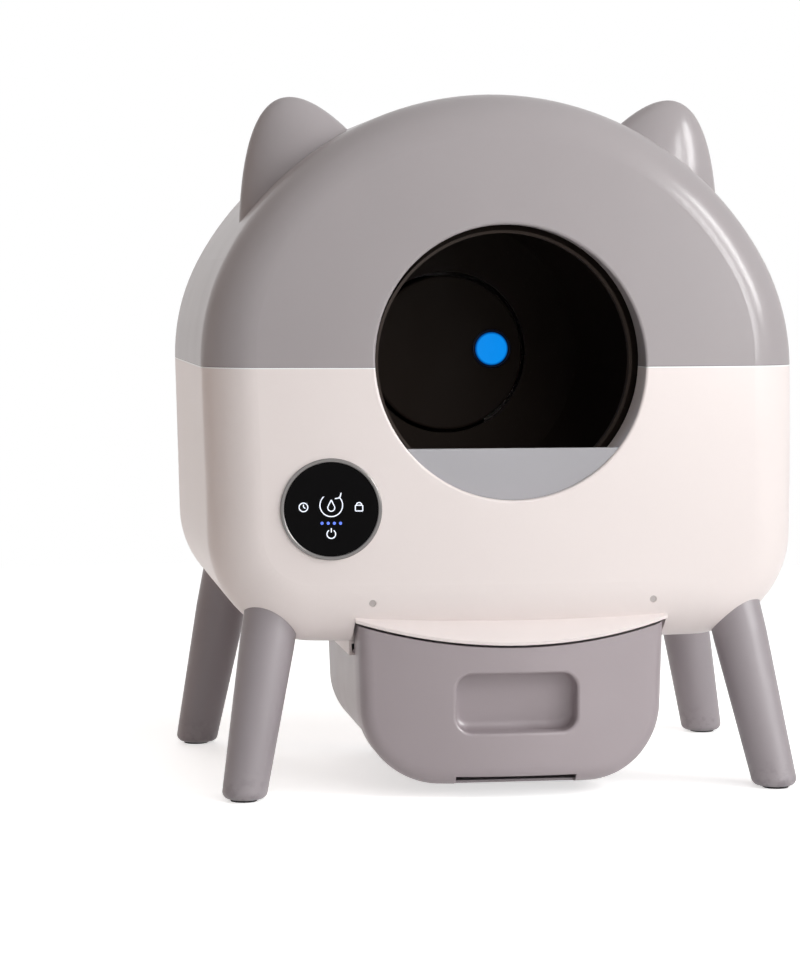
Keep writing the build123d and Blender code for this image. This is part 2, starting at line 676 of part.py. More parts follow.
def lower_shell():
    """White tub: floor, sides, lower half of the rim, lip and notch, sockets, seats and screw holes."""
    shell = casing_shell() - above_seam()
    walls, notch, lip = drawer_notch()
    seat, panel_cut = panel_seat()
    collar, chute_hole = chute()
    posts, hollows = leg_sockets()
    standoff = rod(BOARD_STANDOFF_RADIUS, UNDERSIDE, FLOOR + BOARD_STANDOFF)
    standoffs = [place * standoff for place in board_holes()]
    shell += [walls, seat, collar, *standoffs, *posts]
    shell -= [notch, panel_cut, chute_hole, inlet_hole(), *hollows]
    shell -= [*plug_bars(PLUG_RADIUS + PLUG_GAP), *floor_holes()]
    return shell + lip


def entry_guard():
    """Threshold plate across the bottom of the entrance, in front of the ledge."""
    radius = ENTRY_RADIUS - GUARD_GAP
    disc = Pos(0, ENTRY_HEIGHT) * Circle(radius)
    below = Pos(0, ENTRY_HEIGHT - GUARD_DROP - radius) * Rectangle(2 * radius, 2 * radius)
    plate = slab(disc & below, *guard_span())
    top = plate.faces().sort_by(Axis.Z)[-1]
    return fillet(top.edges().filter_by(Axis.X), GUARD_EDGE_RADIUS)


def drum_section(inset):
    """Half section of the drum as a solid, drawn in by inset."""
    half = [
        (NECK_RADIUS, NECK_FRONT),
        (NECK_RADIUS, CONE_FRONT),
        (DRUM_RADIUS, BARREL_FRONT),
        (DRUM_RADIUS, BARREL_BACK),
        (DISC_RADIUS, DRUM_BACK),
    ]
    outline = Polyline(*half, *[(-x, y) for x, y in reversed(half)], close=True)
    face = make_face(outline)
    widest = face.vertices().group_by(lambda corner: round(abs(corner.X)))[-1]
    face = fillet(widest, DRUM_ROUND)
    face = offset(face, -inset, kind=Kind.INTERSECTION) if inset else face
    right = Pos(DRUM_RADIUS, (NECK_FRONT + DRUM_BACK) / 2) * Rectangle(2 * DRUM_RADIUS, 2 * BODY_DEPTH)
    return face & right


def waste_port():
    """Cut through the top of the drum."""
    hole = Rectangle(PORT_WIDTH, PORT_LENGTH)
    hole = fillet(hole.vertices(), PORT_CORNER)
    middle = BARREL_FRONT + PORT_FRONT + PORT_LENGTH / 2
    return Pos(0, middle, ENTRY_HEIGHT) * extrude(hole, 2 * DRUM_RADIUS)


@lru_cache
def drum_body():
    """Drum wall with its neck, waste port, hub hole and the flange at the joint of its halves."""
    drum = turned(drum_section(0)) - turned(drum_section(DRUM_WALL))
    drum -= bar_along_y(NECK_RADIUS - DRUM_WALL, 0, ENTRY_HEIGHT, NECK_FRONT - DRUM_WALL, CONE_FRONT)
    drum -= bar_along_y(HUB_RADIUS, 0, ENTRY_HEIGHT, DRUM_BACK - 2 * DRUM_WALL, DRUM_BACK + DRUM_WALL)
    flange = bar_along_y(FLANGE_RADIUS, 0, ENTRY_HEIGHT, DRUM_SPLIT - FLANGE_WALL, DRUM_SPLIT + FLANGE_WALL)
    flange -= bar_along_y(DRUM_RADIUS - DRUM_WALL / 2, 0, ENTRY_HEIGHT, NECK_FRONT, DRUM_BACK)
    drum += flange
    return drum - waste_port() - drum_screw_bars(SCREW_RADIUS + SCREW_GAP, SCREW_GAP)


def drum_screw_bars(radius, past):
    """Bars along the drum screws, from the front of the flange into the ring gear."""
    circle = (FLANGE_RADIUS + DRUM_RADIUS) / 2
    bars = []
    for index in range(DRUM_SCREWS):
        x, z = polar(circle, (index + 0.5) * 360 / DRUM_SCREWS)
        bars.append(bar_along_y(radius, x, z, DRUM_SPLIT - FLANGE_WALL, RING_FRONT + RING_FACE / 2 + past))
    return bars


def drum_screws():
    """Screws that clamp the two drum halves and the ring gear."""
    screws = []
    circle = (FLANGE_RADIUS + DRUM_RADIUS) / 2
    front = DRUM_SPLIT - FLANGE_WALL
    for index, shank in enumerate(drum_screw_bars(SCREW_RADIUS, 0)):
        x, z = polar(circle, (index + 0.5) * 360 / DRUM_SCREWS)
        screws.append(shank + bar_along_y(SCREW_HEAD_RADIUS, x, z, front - SCREW_HEAD, front))
    return screws


def drum_front():
    """Front half of the drum: neck, front cone and the part of the barrel with the port."""
    return drum_body() - block((-BODY_WIDTH, BODY_WIDTH), (DRUM_SPLIT, BACK), (0, 2 * DOME_TOP))


def drum_rear():
    """Rear half of the drum: the rest of the barrel, rear cone and back disc."""
    return drum_body() - block((-BODY_WIDTH, BODY_WIDTH), (FRONT, DRUM_SPLIT), (0, 2 * DOME_TOP))


def sieve_grate():
    """Slotted shelf inside the drum, a shallow arc from wall to wall beside the waste port."""
    radius = DRUM_RADIUS - DRUM_WALL - SIEVE_GAP
    start, end = Vector(*polar(radius, SIEVE_START)), Vector(*polar(radius, SIEVE_END))
    chord = end - start
    inward = Vector(0, ENTRY_HEIGHT) - (start + end) / 2
    crown = (start + end) / 2 + inward.normalized() * SIEVE_SAG
    sag_radius = (chord.length**2 / 4 + SIEVE_SAG**2) / (2 * SIEVE_SAG)
    middle = crown - inward.normalized() * sag_radius
    band = Pos(middle.X, middle.Y) * (Circle(sag_radius) - Circle(sag_radius - SIEVE_WALL))
    band &= Pos(0, ENTRY_HEIGHT) * Circle(radius)
    front = BARREL_FRONT + PORT_FRONT + (PORT_LENGTH - SIEVE_LENGTH) / 2
    grate = slab(band, front, front + SIEVE_LENGTH)
    half_turn = degrees(asin(chord.length / 2 / sag_radius))
    facing = degrees(atan2(inward.Y, inward.X))
    for index in range(SIEVE_SLOTS):
        angle = facing + half_turn * SIEVE_SLOTTED * (2 * index / (SIEVE_SLOTS - 1) - 1)
        place = Pos(middle.X, middle.Y) * Rot(0, 0, angle) * Pos(sag_radius, 0)
        slot = place * Rectangle(4 * SIEVE_WALL, SIEVE_SLOT_WIDTH)
        grate -= slab(slot, front + SIEVE_EDGE, front + SIEVE_LENGTH - SIEVE_EDGE)
    return grate


def involute(angle):
    """Involute of an angle in radians."""
    return tan(angle) - angle


def tooth_half_angle(radius, pitch_radius):
    """Half the angle that a tooth takes at a radius, in radians."""
    base = pitch_radius * cos(PRESSURE_ANGLE)
    roll = acos(base / radius) if radius > base else 0
    half_at_pitch = (pi * GEAR_MODULE - BACKLASH) / (4 * pitch_radius)
    return half_at_pitch + involute(PRESSURE_ANGLE) - involute(roll)


def gear_outline(teeth, phase, flank_steps):
    """Gear outline with involute flanks and a tooth centred at phase in degrees."""
    pitch_radius = GEAR_MODULE * teeth / 2
    root = pitch_radius - ROOT_DEPTH * GEAR_MODULE
    tip = pitch_radius + GEAR_MODULE
    radii = [root + (tip - root) * step / flank_steps for step in range(flank_steps + 1)]
    points = []
    for index in range(teeth):
        middle = radians(phase + 360 * index / teeth)
        rising = [(radius, middle - tooth_half_angle(radius, pitch_radius)) for radius in radii]
        falling = [(radius, middle + tooth_half_angle(radius, pitch_radius)) for radius in reversed(radii)]
        points += [(radius * cos(angle), radius * sin(angle)) for radius, angle in rising + falling]
    return make_face(Polyline(*points, close=True))


def ring_gear():
    """Toothed ring on the drum's flange, with blind holes for the drum screws."""
    outline = gear_outline(RING_TEETH, PINION_ANGLE - 90, 1) - Circle(DRUM_RADIUS + RING_BORE_GAP)
    ring = slab(Pos(0, ENTRY_HEIGHT) * outline, RING_FRONT, RING_FRONT + RING_FACE)
    return ring - drum_screw_bars(SCREW_RADIUS + SCREW_GAP, SCREW_GAP)


def pinion_place():
    """Pinion's axis in the front view."""
    return polar(GEAR_CENTRES, PINION_ANGLE - 90)


def plate_back():
    """Back face of the motor plate."""
    return PINION_FRONT - PLATE_GAP


def drive_pinion():
    """Driving gear on its own shaft, which reaches into the gearbox."""
    x, z = pinion_place()
    outline = gear_outline(PINION_TEETH, PINION_ANGLE + 90 + 180 / PINION_TEETH, 4)
    gear = slab(Pos(x, z) * outline, PINION_FRONT, PINION_FRONT + PINION_FACE)
    hub_back = PINION_FRONT + PINION_FACE + PINION_HUB_LENGTH
    gear += bar_along_y(PINION_HUB_RADIUS, x, z, PINION_FRONT, hub_back)
    return gear + bar_along_y(SHAFT_RADIUS, x, z, plate_back() - MOTOR_PLATE - SHAFT_REACH, PINION_FRONT)


def motor_screw_places():
    """Front-view places of the screws that hold the gearbox on its plate."""
    x, z = pinion_place()
    turns = [radians(90 * index + 45) for index in range(4)]
    return [(x + MOTOR_SCREW_CIRCLE * cos(turn), z + MOTOR_SCREW_CIRCLE * sin(turn)) for turn in turns]


def motor_foot_screws():
    """Plan places of the screws through the motor bracket's foot."""
    x = pinion_place()[0] - MOTOR_FOOT_OFFSET
    y = plate_back() - MOTOR_PLATE - (MOTOR_FOOT_DEPTH - MOTOR_PLATE) / 2
    spread = MOTOR_FOOT_WIDTH / 4
    return [(x - spread, y), (x + spread, y)]


def motor_bracket():
    """Upright plate that carries the gearbox, tapering to a foot on the casing's floor."""
    x, z = pinion_place()
    foot_x = x - MOTOR_FOOT_OFFSET
    back = plate_back()
    head = Pos(x, z) * Circle(GEARBOX_RADIUS + MOTOR_PLATE_MARGIN)
    foot = Pos(foot_x, FLOOR + MOTOR_PLATE / 2) * Rectangle(MOTOR_FOOT_WIDTH, MOTOR_PLATE)
    outline = make_hull((head + foot).edges())
    outline -= Pos(0, ENTRY_HEIGHT) * Circle(FLANGE_RADIUS + SCREW_HEAD)
    outline -= Pos(x, z) * Circle(SHAFT_RADIUS + WALL)
    outline -= [Pos(*place) * Circle(SCREW_RADIUS + SCREW_GAP) for place in motor_screw_places()]
    plate = slab(outline, back - MOTOR_PLATE, back)
    half = MOTOR_FOOT_WIDTH / 2
    y_span = (back - MOTOR_FOOT_DEPTH, back)
    plate += block((foot_x - half, foot_x + half), y_span, (FLOOR, FLOOR + MOTOR_PLATE))
    hole = rod(SCREW_RADIUS + SCREW_GAP, FLOOR, FLOOR + MOTOR_PLATE)
    return plate - [Pos(*place) * hole for place in motor_foot_screws()]


def gearbox():
    """Round gearbox on the plate, bored for the pinion's shaft and its screws."""
    x, z = pinion_place()
    back = plate_back() - MOTOR_PLATE
    body = bar_along_y(GEARBOX_RADIUS, x, z, back - GEARBOX_LENGTH, back)
    front = body.faces().sort_by(Axis.Y)[0]
    body = chamfer(front.edges(), WALL)
    body -= bar_along_y(SHAFT_RADIUS + SHAFT_GAP, x, z, back - SHAFT_REACH - SHAFT_GAP, back)
    hole_front = back - MOTOR_SCREW_REACH - SCREW_RADIUS
    places = motor_screw_places()
    return body - [bar_along_y(SCREW_RADIUS + SCREW_GAP, *place, hole_front, back) for place in places]


def drive_motor():
    """Motor can on the front of the gearbox, with its end boss."""
    x, z = pinion_place()
    back = plate_back() - MOTOR_PLATE - GEARBOX_LENGTH
    can = bar_along_y(MOTOR_RADIUS, x, z, back - MOTOR_LENGTH, back)
    can = fillet(can.faces().sort_by(Axis.Y)[0].edges(), WALL)
    return can + bar_along_y(MOTOR_BOSS_RADIUS, x, z, back - MOTOR_LENGTH - WALL, back)


def motor_screws():
    """Screws that hold the gearbox, and those in the bracket's foot."""
    back = plate_back()
    screws = []
    for place in motor_screw_places():
        shank = bar_along_y(SCREW_RADIUS, *place, back - MOTOR_PLATE - MOTOR_SCREW_REACH, back)
        screws.append(shank + bar_along_y(SCREW_HEAD_RADIUS, *place, back, back + MOTOR_SCREW_HEAD))
    return screws + [floor_screw(*place, MOTOR_PLATE) for place in motor_foot_screws()]


def floor_screw(x, y, foot):
    """Screw down through a foot of some thickness into the casing's floor."""
    seat = FLOOR + foot
    screw = rod(SCREW_RADIUS, UNDERSIDE, seat) + rod(SCREW_HEAD_RADIUS, seat, seat + SCREW_HEAD)
    return Pos(x, y, 0) * screw


def floor_holes():
    """Screw holes through the casing's floor and standoffs."""
    places = [*motor_foot_screws(), *rail_screw_places()]
    for side in SIDES.values():
        for end in ENDS:
            places += bracket_screw_places(side, end)
    hole = rod(SCREW_RADIUS + SCREW_GAP, UNDERSIDE, FLOOR + BOARD_STANDOFF)
    return [Pos(x, y, 0) * hole for x, y in places] + [place * hole for place in board_holes()]


def roller_place(side):
    """A roller's axis in the front view."""
    return polar(ROLLER_CENTRES, -90 + side * ROLLER_ANGLE)


def drum_roller(side, end):
    """Roller under the drum, bored for its axle, with eased edges."""
    x, z = roller_place(side)
    y = ROLLER_PLACES[end]
    roller = bar_along_y(ROLLER_RADIUS, x, z, y - ROLLER_WIDTH / 2, y + ROLLER_WIDTH / 2)
    roller = chamfer(roller.edges(), ROLLER_EDGE)
    return roller - bar_along_y(AXLE_RADIUS + SHAFT_GAP, x, z, y - ROLLER_WIDTH, y + ROLLER_WIDTH)


def cheek_spans(end):
    """Depth spans of the two cheeks beside a roller."""
    y = ROLLER_PLACES[end]
    inner = ROLLER_WIDTH / 2 + ROLLER_SIDE_GAP
    return [(y - inner - CHEEK_WALL, y - inner), (y + inner, y + inner + CHEEK_WALL)]


def bracket_screw_places(side, end):
    """Plan places of the screws through a roller bracket's two toes."""
    x = roller_place(side)[0]
    front, back = cheek_spans(end)
    return [(x, front[0] - BRACKET_TOE / 2), (x, back[1] + BRACKET_TOE / 2)]


def roller_bracket(side, end):
    """Two cheeks that hold a roller's axle on a foot that is screwed to the floor."""
    x, z = roller_place(side)
    spans = cheek_spans(end)
    head = Pos(x, z) * Circle(CHEEK_RADIUS)
    foot = Pos(x, FLOOR + BRACKET_FOOT / 2) * Rectangle(BRACKET_WIDTH, BRACKET_FOOT)
    outline = make_hull((head + foot).edges()) - Pos(x, z) * Circle(AXLE_RADIUS + SHAFT_GAP)
    half = BRACKET_WIDTH / 2
    y_span = (spans[0][0] - BRACKET_TOE, spans[1][1] + BRACKET_TOE)
    bracket = block((x - half, x + half), y_span, (FLOOR, FLOOR + BRACKET_FOOT))
    bracket += [slab(outline, *span) for span in spans]
    hole = rod(SCREW_RADIUS + SCREW_GAP, FLOOR, FLOOR + BRACKET_FOOT)
    return bracket - [Pos(*place) * hole for place in bracket_screw_places(side, end)]


def roller_axles():
    """A pin through each roller and its two cheeks."""
    axles = []
    for end in ENDS:
        front, back = cheek_spans(end)
        axles += [bar_along_y(AXLE_RADIUS, *roller_place(side), front[0], back[1]) for side in SIDES.values()]
    return axles


def bracket_screws():
    """Screws that hold the roller brackets down."""
    places = [place for side in SIDES.values() for end in ENDS for place in bracket_screw_places(side, end)]
    return [floor_screw(x, y, BRACKET_FOOT) for x, y in places]


def cap_outline(inset):
    """Front view of the drawer front drawn in by inset: drafted sides and round bottom corners."""
    half = DRAWER_WIDTH / 2 - inset
    low = half - DRAWER_TAPER
    bottom = DRAWER_BOTTOM + inset
    top = LIP_CREASE_HEIGHT
    face = make_face(Polyline((half, top), (low, bottom), (-low, bottom), (-half, top), close=True))
    return fillet(face.vertices().group_by(Axis.Y)[0], DRAWER_CORNER - inset)


def above_smile(inset):
    """Everything over the drawer front's smile-shaped top, which follows the edge of the lip."""
    half = DRAWER_WIDTH / 2 + NOTCH_GAP
    drop = WALL + LIP_GAP + inset
    end = lip_height(bow_depth(half)) - drop
    middle = lip_height(bow_depth(0)) - drop
    top = LIP_CREASE_HEIGHT + WALL
    smile = ThreePointArc((-half, end), (0, middle), (half, end))
    rest = Polyline((half, end), (half, top), (-half, top), (-half, end))
    return slab(make_face([smile, *rest.edges()]), DRAWER_FRONT, CAP_BACK)


def cap_form(inset):
    """The drawer front as a solid drawn in by inset: bowed face, round edges at the sides and bottom."""
    form = slab(cap_outline(inset), DRAWER_FRONT, CAP_BACK) & bow(inset)
    face = form.faces().sort_by(Axis.Y)[0]
    edges = face.edges().sort_by(Axis.Z)[:-1]
    return fillet(edges, DRAWER_EDGE_RADIUS - inset) - above_smile(inset)


def handle_outline(margin):
    """Front view of the handle pocket grown by margin."""
    size = (HANDLE_WIDTH + 2 * margin, HANDLE_HEIGHT + 2 * margin)
    return Pos(0, HANDLE_MIDDLE) * RectangleRounded(*size, HANDLE_CORNER + margin)


def cap_post_places():
    """Front-view places of the posts that take the drawer front's screws."""
    return [(side * CAP_POST_SPREAD, z) for side in SIDES.values() for z in (CAP_POST_LOW, CAP_POST_HIGH)]


def on_pocket_rim(point):
    """Whether a point lies where the handle pocket meets the bowed front."""
    across = abs(point.X) < HANDLE_WIDTH / 2 + HANDLE_EDGE_RADIUS
    up = abs(point.Z - HANDLE_MIDDLE) < HANDLE_HEIGHT / 2 + HANDLE_EDGE_RADIUS
    return across and up and point.Y < bow_depth(HANDLE_WIDTH / 2) + HANDLE_EDGE_RADIUS


def drawer_front():
    """Drawer front: a hollow bowed cap with a handle pocket, a grip notch under it and four screw posts."""
    pocket_back = DRAWER_FRONT + HANDLE_DEPTH
    pocket = slab(handle_outline(0), DRAWER_FRONT - DRAWER_WALL, pocket_back)
    pocket = fillet(pocket.faces().sort_by(Axis.Y)[-1].edges(), HANDLE_FLOOR_RADIUS)
    cap = cap_form(0) - pocket
    rim = cap.edges().filter_by(lambda edge: on_pocket_rim(edge.center()))
    cap = fillet(rim, HANDLE_EDGE_RADIUS)
    posts = [bar_along_y(CAP_POST_RADIUS, *place, DRAWER_FRONT, CAP_BACK) for place in cap_post_places()]
    pocket_walls = slab(handle_outline(DRAWER_WALL), DRAWER_FRONT, pocket_back + DRAWER_WALL)
    hollow = cap_form(DRAWER_WALL) - pocket_walls
    cap -= hollow - posts
    half = GRIP_WIDTH / 2
    grip = ((-half, half), (DRAWER_FRONT - WALL, DRAWER_FRONT + GRIP_DEPTH), (0, DRAWER_BOTTOM + GRIP_HEIGHT))
    return cap - block(*grip) - cap_screw_bars(SCREW_RADIUS + SCREW_GAP, SCREW_GAP)


def cap_screw_bars(radius, past):
    """Bars along the drawer front's screws."""
    start = CAP_BACK - CAP_SCREW_REACH - past
    return [bar_along_y(radius, *place, start, CAP_BACK + DRAWER_WALL) for place in cap_post_places()]


def cap_screws():
    """Screws from inside the bin into the drawer front."""
    seat = CAP_BACK + DRAWER_WALL
    heads = [bar_along_y(SCREW_HEAD_RADIUS, *place, seat, seat + SCREW_HEAD) for place in cap_post_places()]
    return [head + shank for head, shank in zip(heads, cap_screw_bars(SCREW_RADIUS, 0))]


def bin_form(inset):
    """The bin as a solid drawn in by inset up to its rim, with a round back."""
    half = BIN_WIDTH / 2 - inset
    low = half - DRAWER_TAPER
    bottom = DRAWER_BOTTOM + BIN_LIFT + inset
    face = make_face(Polyline((half, BIN_TOP), (low, bottom), (-low, bottom), (-half, BIN_TOP), close=True))
    face = fillet(face.vertices().group_by(Axis.Y)[0], BIN_CORNER - inset)
    form = slab(face, CAP_BACK + inset, BIN_BACK - inset)
    back = form.faces().sort_by(Axis.Y)[-1]
    edges = back.edges().sort_by(Axis.Z)[:-1]
    return fillet(edges, BIN_BACK_RADIUS - inset)


def drawer_bin():
    """Open bin with side flanges that ride in the rails."""
    body = bin_form(0) - bin_form(DRAWER_WALL)
    half = BIN_WIDTH / 2
    for side in SIDES.values():
        x_span = sorted((side * (half - DRAWER_WALL / 2), side * (half + BIN_FLANGE)))
        body += block(x_span, (CAP_BACK, BIN_BACK - BIN_BACK_RADIUS), (FLANGE_BOTTOM, BIN_TOP))
    return body - cap_screw_bars(SCREW_RADIUS + SCREW_GAP, SCREW_GAP)


def bag_frame():
    """Frame that clamps the waste bag on the bin's rim, with a lip that drops inside the rim."""
    half = BIN_WIDTH / 2
    length = BIN_LENGTH - BIN_BACK_RADIUS
    middle = Pos(0, CAP_BACK + length / 2, 0)
    lip_size = (BIN_WIDTH - 2 * (DRAWER_WALL + BAG_FRAME_GAP), length - 2 * (DRAWER_WALL + BAG_FRAME_GAP))
    hole = RectangleRounded(2 * half - 2 * BAG_FRAME_WIDTH, length - 2 * BAG_FRAME_WIDTH, PORT_CORNER)
    frame = extrude(Pos(0, 0, BIN_TOP) * (Rectangle(2 * half, length) - hole), BAG_FRAME_WALL)
    lip = Rectangle(*lip_size) - Rectangle(lip_size[0] - 2 * DRAWER_WALL, lip_size[1] - 2 * DRAWER_WALL)
    return middle * (frame + extrude(Pos(0, 0, BIN_TOP - BAG_FRAME_LIP) * lip, BAG_FRAME_LIP))


def rail_span():
    """Depth span of the drawer rails."""
    return NOTCH_BACK + WALL, BIN_BACK + RAIL_PAST_BIN


def rail_screw_places():
    """Plan places of the screws through the drawer rails."""
    x = RAIL_OUTER - RAIL_WALL - SCREW_HEAD_RADIUS
    front, back = rail_span()
    ends = (front + RAIL_SCREW_INSET, back - RAIL_SCREW_INSET)
    return [(side * x, y) for side in SIDES.values() for y in ends]


def drawer_rail(side):
    """Channel under the floor with a shelf that carries the bin's flange and a stop at its back."""
    shelf = RAIL_OUTER - RAIL_WALL - RAIL_SHELF
    top_inner = RAIL_OUTER - RAIL_WALL - 2 * SCREW_HEAD_RADIUS - RAIL_SIDE_GAP
    front, back = rail_span()
    spans = [
        ((RAIL_OUTER - RAIL_WALL, RAIL_OUTER), (front, back), (RAIL_BOTTOM, UNDERSIDE)),
        ((shelf, RAIL_OUTER), (front, back), (RAIL_BOTTOM, RAIL_BOTTOM + RAIL_WALL)),
        ((top_inner, RAIL_OUTER), (front, back), (UNDERSIDE - RAIL_WALL, UNDERSIDE)),
        ((shelf, RAIL_OUTER), (back - RAIL_WALL, back), (RAIL_BOTTOM, UNDERSIDE)),
    ]
    rail = Part() + [block(sorted((side * x[0], side * x[1])), y, z) for x, y, z in spans]
    hole = rod(SCREW_RADIUS + SCREW_GAP, UNDERSIDE - RAIL_WALL, UNDERSIDE)
    return rail - [Pos(*place) * hole for place in rail_screw_places()]


def rail_screws():
    """Screws up through the rails into the casing's floor."""
    seat = UNDERSIDE - RAIL_WALL
    screw = rod(SCREW_RADIUS, seat, FLOOR) + rod(SCREW_HEAD_RADIUS, seat - SCREW_HEAD, seat)
    return [Pos(x, y, 0) * screw for x, y in rail_screw_places()]


def module_spans():
    """Front and back of the lamp housing."""
    return DRUM_BACK - DRUM_WALL - MODULE_REACH, BACK - WALL - MODULE_BACK_GAP


def lamp_housing():
    """Round cup that fills the hub of the drum and stays still, with a seat for the lens."""
    front, back = module_spans()
    cup = bar_along_y(MODULE_RADIUS, 0, ENTRY_HEIGHT, front, back)
    cup = fillet(cup.faces().sort_by(Axis.Y)[0].edges(), MODULE_WALL)
    cup -= bar_along_y(MODULE_RADIUS - MODULE_WALL, 0, ENTRY_HEIGHT, front + 2 * MODULE_WALL, back)
    x, z = lamp_place()
    cup -= bar_along_y(LAMP_RADIUS + LAMP_GAP, x, z, front - MODULE_WALL, front + LAMP_SEAT)
    return cup - bar_along_y(LAMP_RADIUS - LAMP_SEAT, x, z, front, front + 3 * MODULE_WALL)


def lamp_place():
    """Lamp's middle in the front view."""
    return LAMP_ACROSS, ENTRY_HEIGHT + LAMP_RISE


def lamp_lens():
    """Slightly domed blue lens."""
    front = module_spans()[0]
    lens = bar_along_y(LAMP_RADIUS, *lamp_place(), front - LAMP_DOME + LAMP_SEAT, front + LAMP_SEAT)
    return fillet(lens.faces().sort_by(Axis.Y)[0].edges(), LAMP_EDGE_RADIUS)


def lamp_board():
    """Lamp board behind the lens, on the back of the housing's face."""
    seat = module_spans()[0] + 2 * MODULE_WALL
    return bar_along_y(LAMP_BOARD_RADIUS + LAMP_SEAT, *lamp_place(), seat, seat + LAMP_BOARD_WALL)


def module_bracket():
    """Plate between the lamp housing and the casing's back wall."""
    back = module_spans()[1]
    half = MODULE_PLATE_WIDTH / 2
    top = SEAM_HEIGHT - MODULE_PLATE_GAP
    return block((-half, half), (back, BACK - WALL), (ENTRY_HEIGHT - MODULE_PLATE_DROP, top))


def main_board():
    """Control board with a few components, on the standoffs of the floor."""
    seat = FLOOR + BOARD_STANDOFF
    middle = Pos(BOARD_ACROSS, BACK - BOARD_FROM_BACK, seat)
    board = middle * Box(BOARD_WIDTH, BOARD_DEPTH, BOARD_WALL, align=FROM_BASE)
    chip = Box(CHIP_WIDTH, CHIP_WIDTH, BOARD_WALL + CHIP_HEIGHT, align=FROM_BASE)
    relay = Box(RELAY_WIDTH, RELAY_DEPTH, BOARD_WALL + RELAY_HEIGHT, align=FROM_BASE)
    board += middle * Pos(-CHIP_WIDTH, 0, 0) * chip
    board += middle * Pos(RELAY_WIDTH, 0, 0) * relay
    hole = rod(SCREW_RADIUS + SCREW_GAP, 0, SHOULDER_HEIGHT)
    return board - [place * hole for place in board_holes()]


def board_screws():
    """Screws that hold the main board on its standoffs."""
    seat = FLOOR + BOARD_STANDOFF + BOARD_WALL
    screw = rod(SCREW_RADIUS, FLOOR, seat) + rod(SCREW_HEAD_RADIUS, seat, seat + SCREW_HEAD)
    return [place * screw for place in board_holes()]


def inlet_hole():
    """Hole in the back wall for the power inlet, with a sunk seat for its flange."""
    place = (INLET_ACROSS, INLET_HEIGHT)
    hole = bar_along_y(INLET_RADIUS + INLET_GAP, *place, BACK - 2 * WALL, BACK + WALL)
    return hole + bar_along_y(INLET_FLANGE + INLET_GAP, *place, BACK - INLET_FLANGE_WALL, BACK + WALL)


def power_inlet():
    """Round low-voltage socket in the back wall with a flange flush with the wall and a pin in its bore."""
    place = (INLET_ACROSS, INLET_HEIGHT)
    inlet = bar_along_y(INLET_RADIUS, *place, BACK - INLET_LENGTH, BACK)
    inlet += bar_along_y(INLET_FLANGE, *place, BACK - INLET_FLANGE_WALL, BACK)
    inlet -= bar_along_y(INLET_BORE, *place, BACK - INLET_BORE_DEPTH, BACK)
    return inlet + bar_along_y(INLET_PIN, *place, BACK - INLET_BORE_DEPTH, BACK - INLET_FLANGE_WALL)


def nodes():
    """Every piece by name."""
    pieces = {
        "upper_shell": upper_shell,
        "lower_shell": lower_shell,
        "entry_guard": entry_guard,
        "panel_bezel": panel_bezel,
        "panel_glass": panel_glass,
        "panel_board": panel_board,
        "screw_plugs": screw_plugs,
        "foot_pads": foot_pads,
        "weight_cells": weight_cells,
        "leg_screws": leg_screws,
        "drum_front": drum_front,
        "drum_rear": drum_rear,
        "drum_screws": drum_screws,
        "sieve_grate": sieve_grate,
        "ring_gear": ring_gear,
        "drive_pinion": drive_pinion,
        "gearbox": gearbox,
        "drive_motor": drive_motor,
        "motor_bracket": motor_bracket,
        "motor_screws": motor_screws,
        "roller_axles": roller_axles,
        "bracket_screws": bracket_screws,
        "drawer_front": drawer_front,
        "drawer_bin": drawer_bin,
        "bag_frame": bag_frame,
        "cap_screws": cap_screws,
        "rail_screws": rail_screws,
        "lamp_housing": lamp_housing,
        "lamp_lens": lamp_lens,
        "lamp_board": lamp_board,
        "module_bracket": module_bracket,
        "main_board": main_board,
        "board_screws": board_screws,
        "power_inlet": power_inlet,
    }
    made = {name: make() for name, make in pieces.items()}
    for name, side, end in leg_places():
        made[f"leg_{name}"] = leg(side, end)
    for side_name, side in SIDES.items():
        made[f"drawer_rail_{side_name}"] = drawer_rail(side)
        for end in ENDS:
            made[f"drum_roller_{end}_{side_name}"] = drum_roller(side, end)
            made[f"roller_bracket_{end}_{side_name}"] = roller_bracket(side, end)
    return made


def main():
    """Write each piece to its own file."""
    os.makedirs("parts", exist_ok=True)
    for name, piece in nodes().items():
        solids = piece if isinstance(piece, list) else [piece]
        whole = Compound(children=solids) if len(solids) > 1 else solids[0]
        export_step(whole, f"parts/{name}.step")


if __name__ == "__main__":
    main()
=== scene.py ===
"""Finishes and small raised details of a self-cleaning litter box, with a plain studio round it."""

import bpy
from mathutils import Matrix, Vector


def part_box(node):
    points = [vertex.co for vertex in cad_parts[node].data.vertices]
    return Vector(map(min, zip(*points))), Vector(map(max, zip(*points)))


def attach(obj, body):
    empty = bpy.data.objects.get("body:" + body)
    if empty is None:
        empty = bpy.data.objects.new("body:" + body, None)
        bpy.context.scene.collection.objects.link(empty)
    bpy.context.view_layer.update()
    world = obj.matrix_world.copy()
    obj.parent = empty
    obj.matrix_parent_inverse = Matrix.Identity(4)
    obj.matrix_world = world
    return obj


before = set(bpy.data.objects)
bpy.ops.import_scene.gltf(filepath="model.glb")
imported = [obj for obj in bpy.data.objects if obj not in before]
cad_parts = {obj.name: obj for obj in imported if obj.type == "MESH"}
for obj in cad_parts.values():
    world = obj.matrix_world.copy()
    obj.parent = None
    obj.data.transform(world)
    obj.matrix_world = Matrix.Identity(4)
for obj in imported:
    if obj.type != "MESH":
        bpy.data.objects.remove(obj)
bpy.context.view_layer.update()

import math

import bpy
import numpy as np
from mathutils import Matrix, Vector

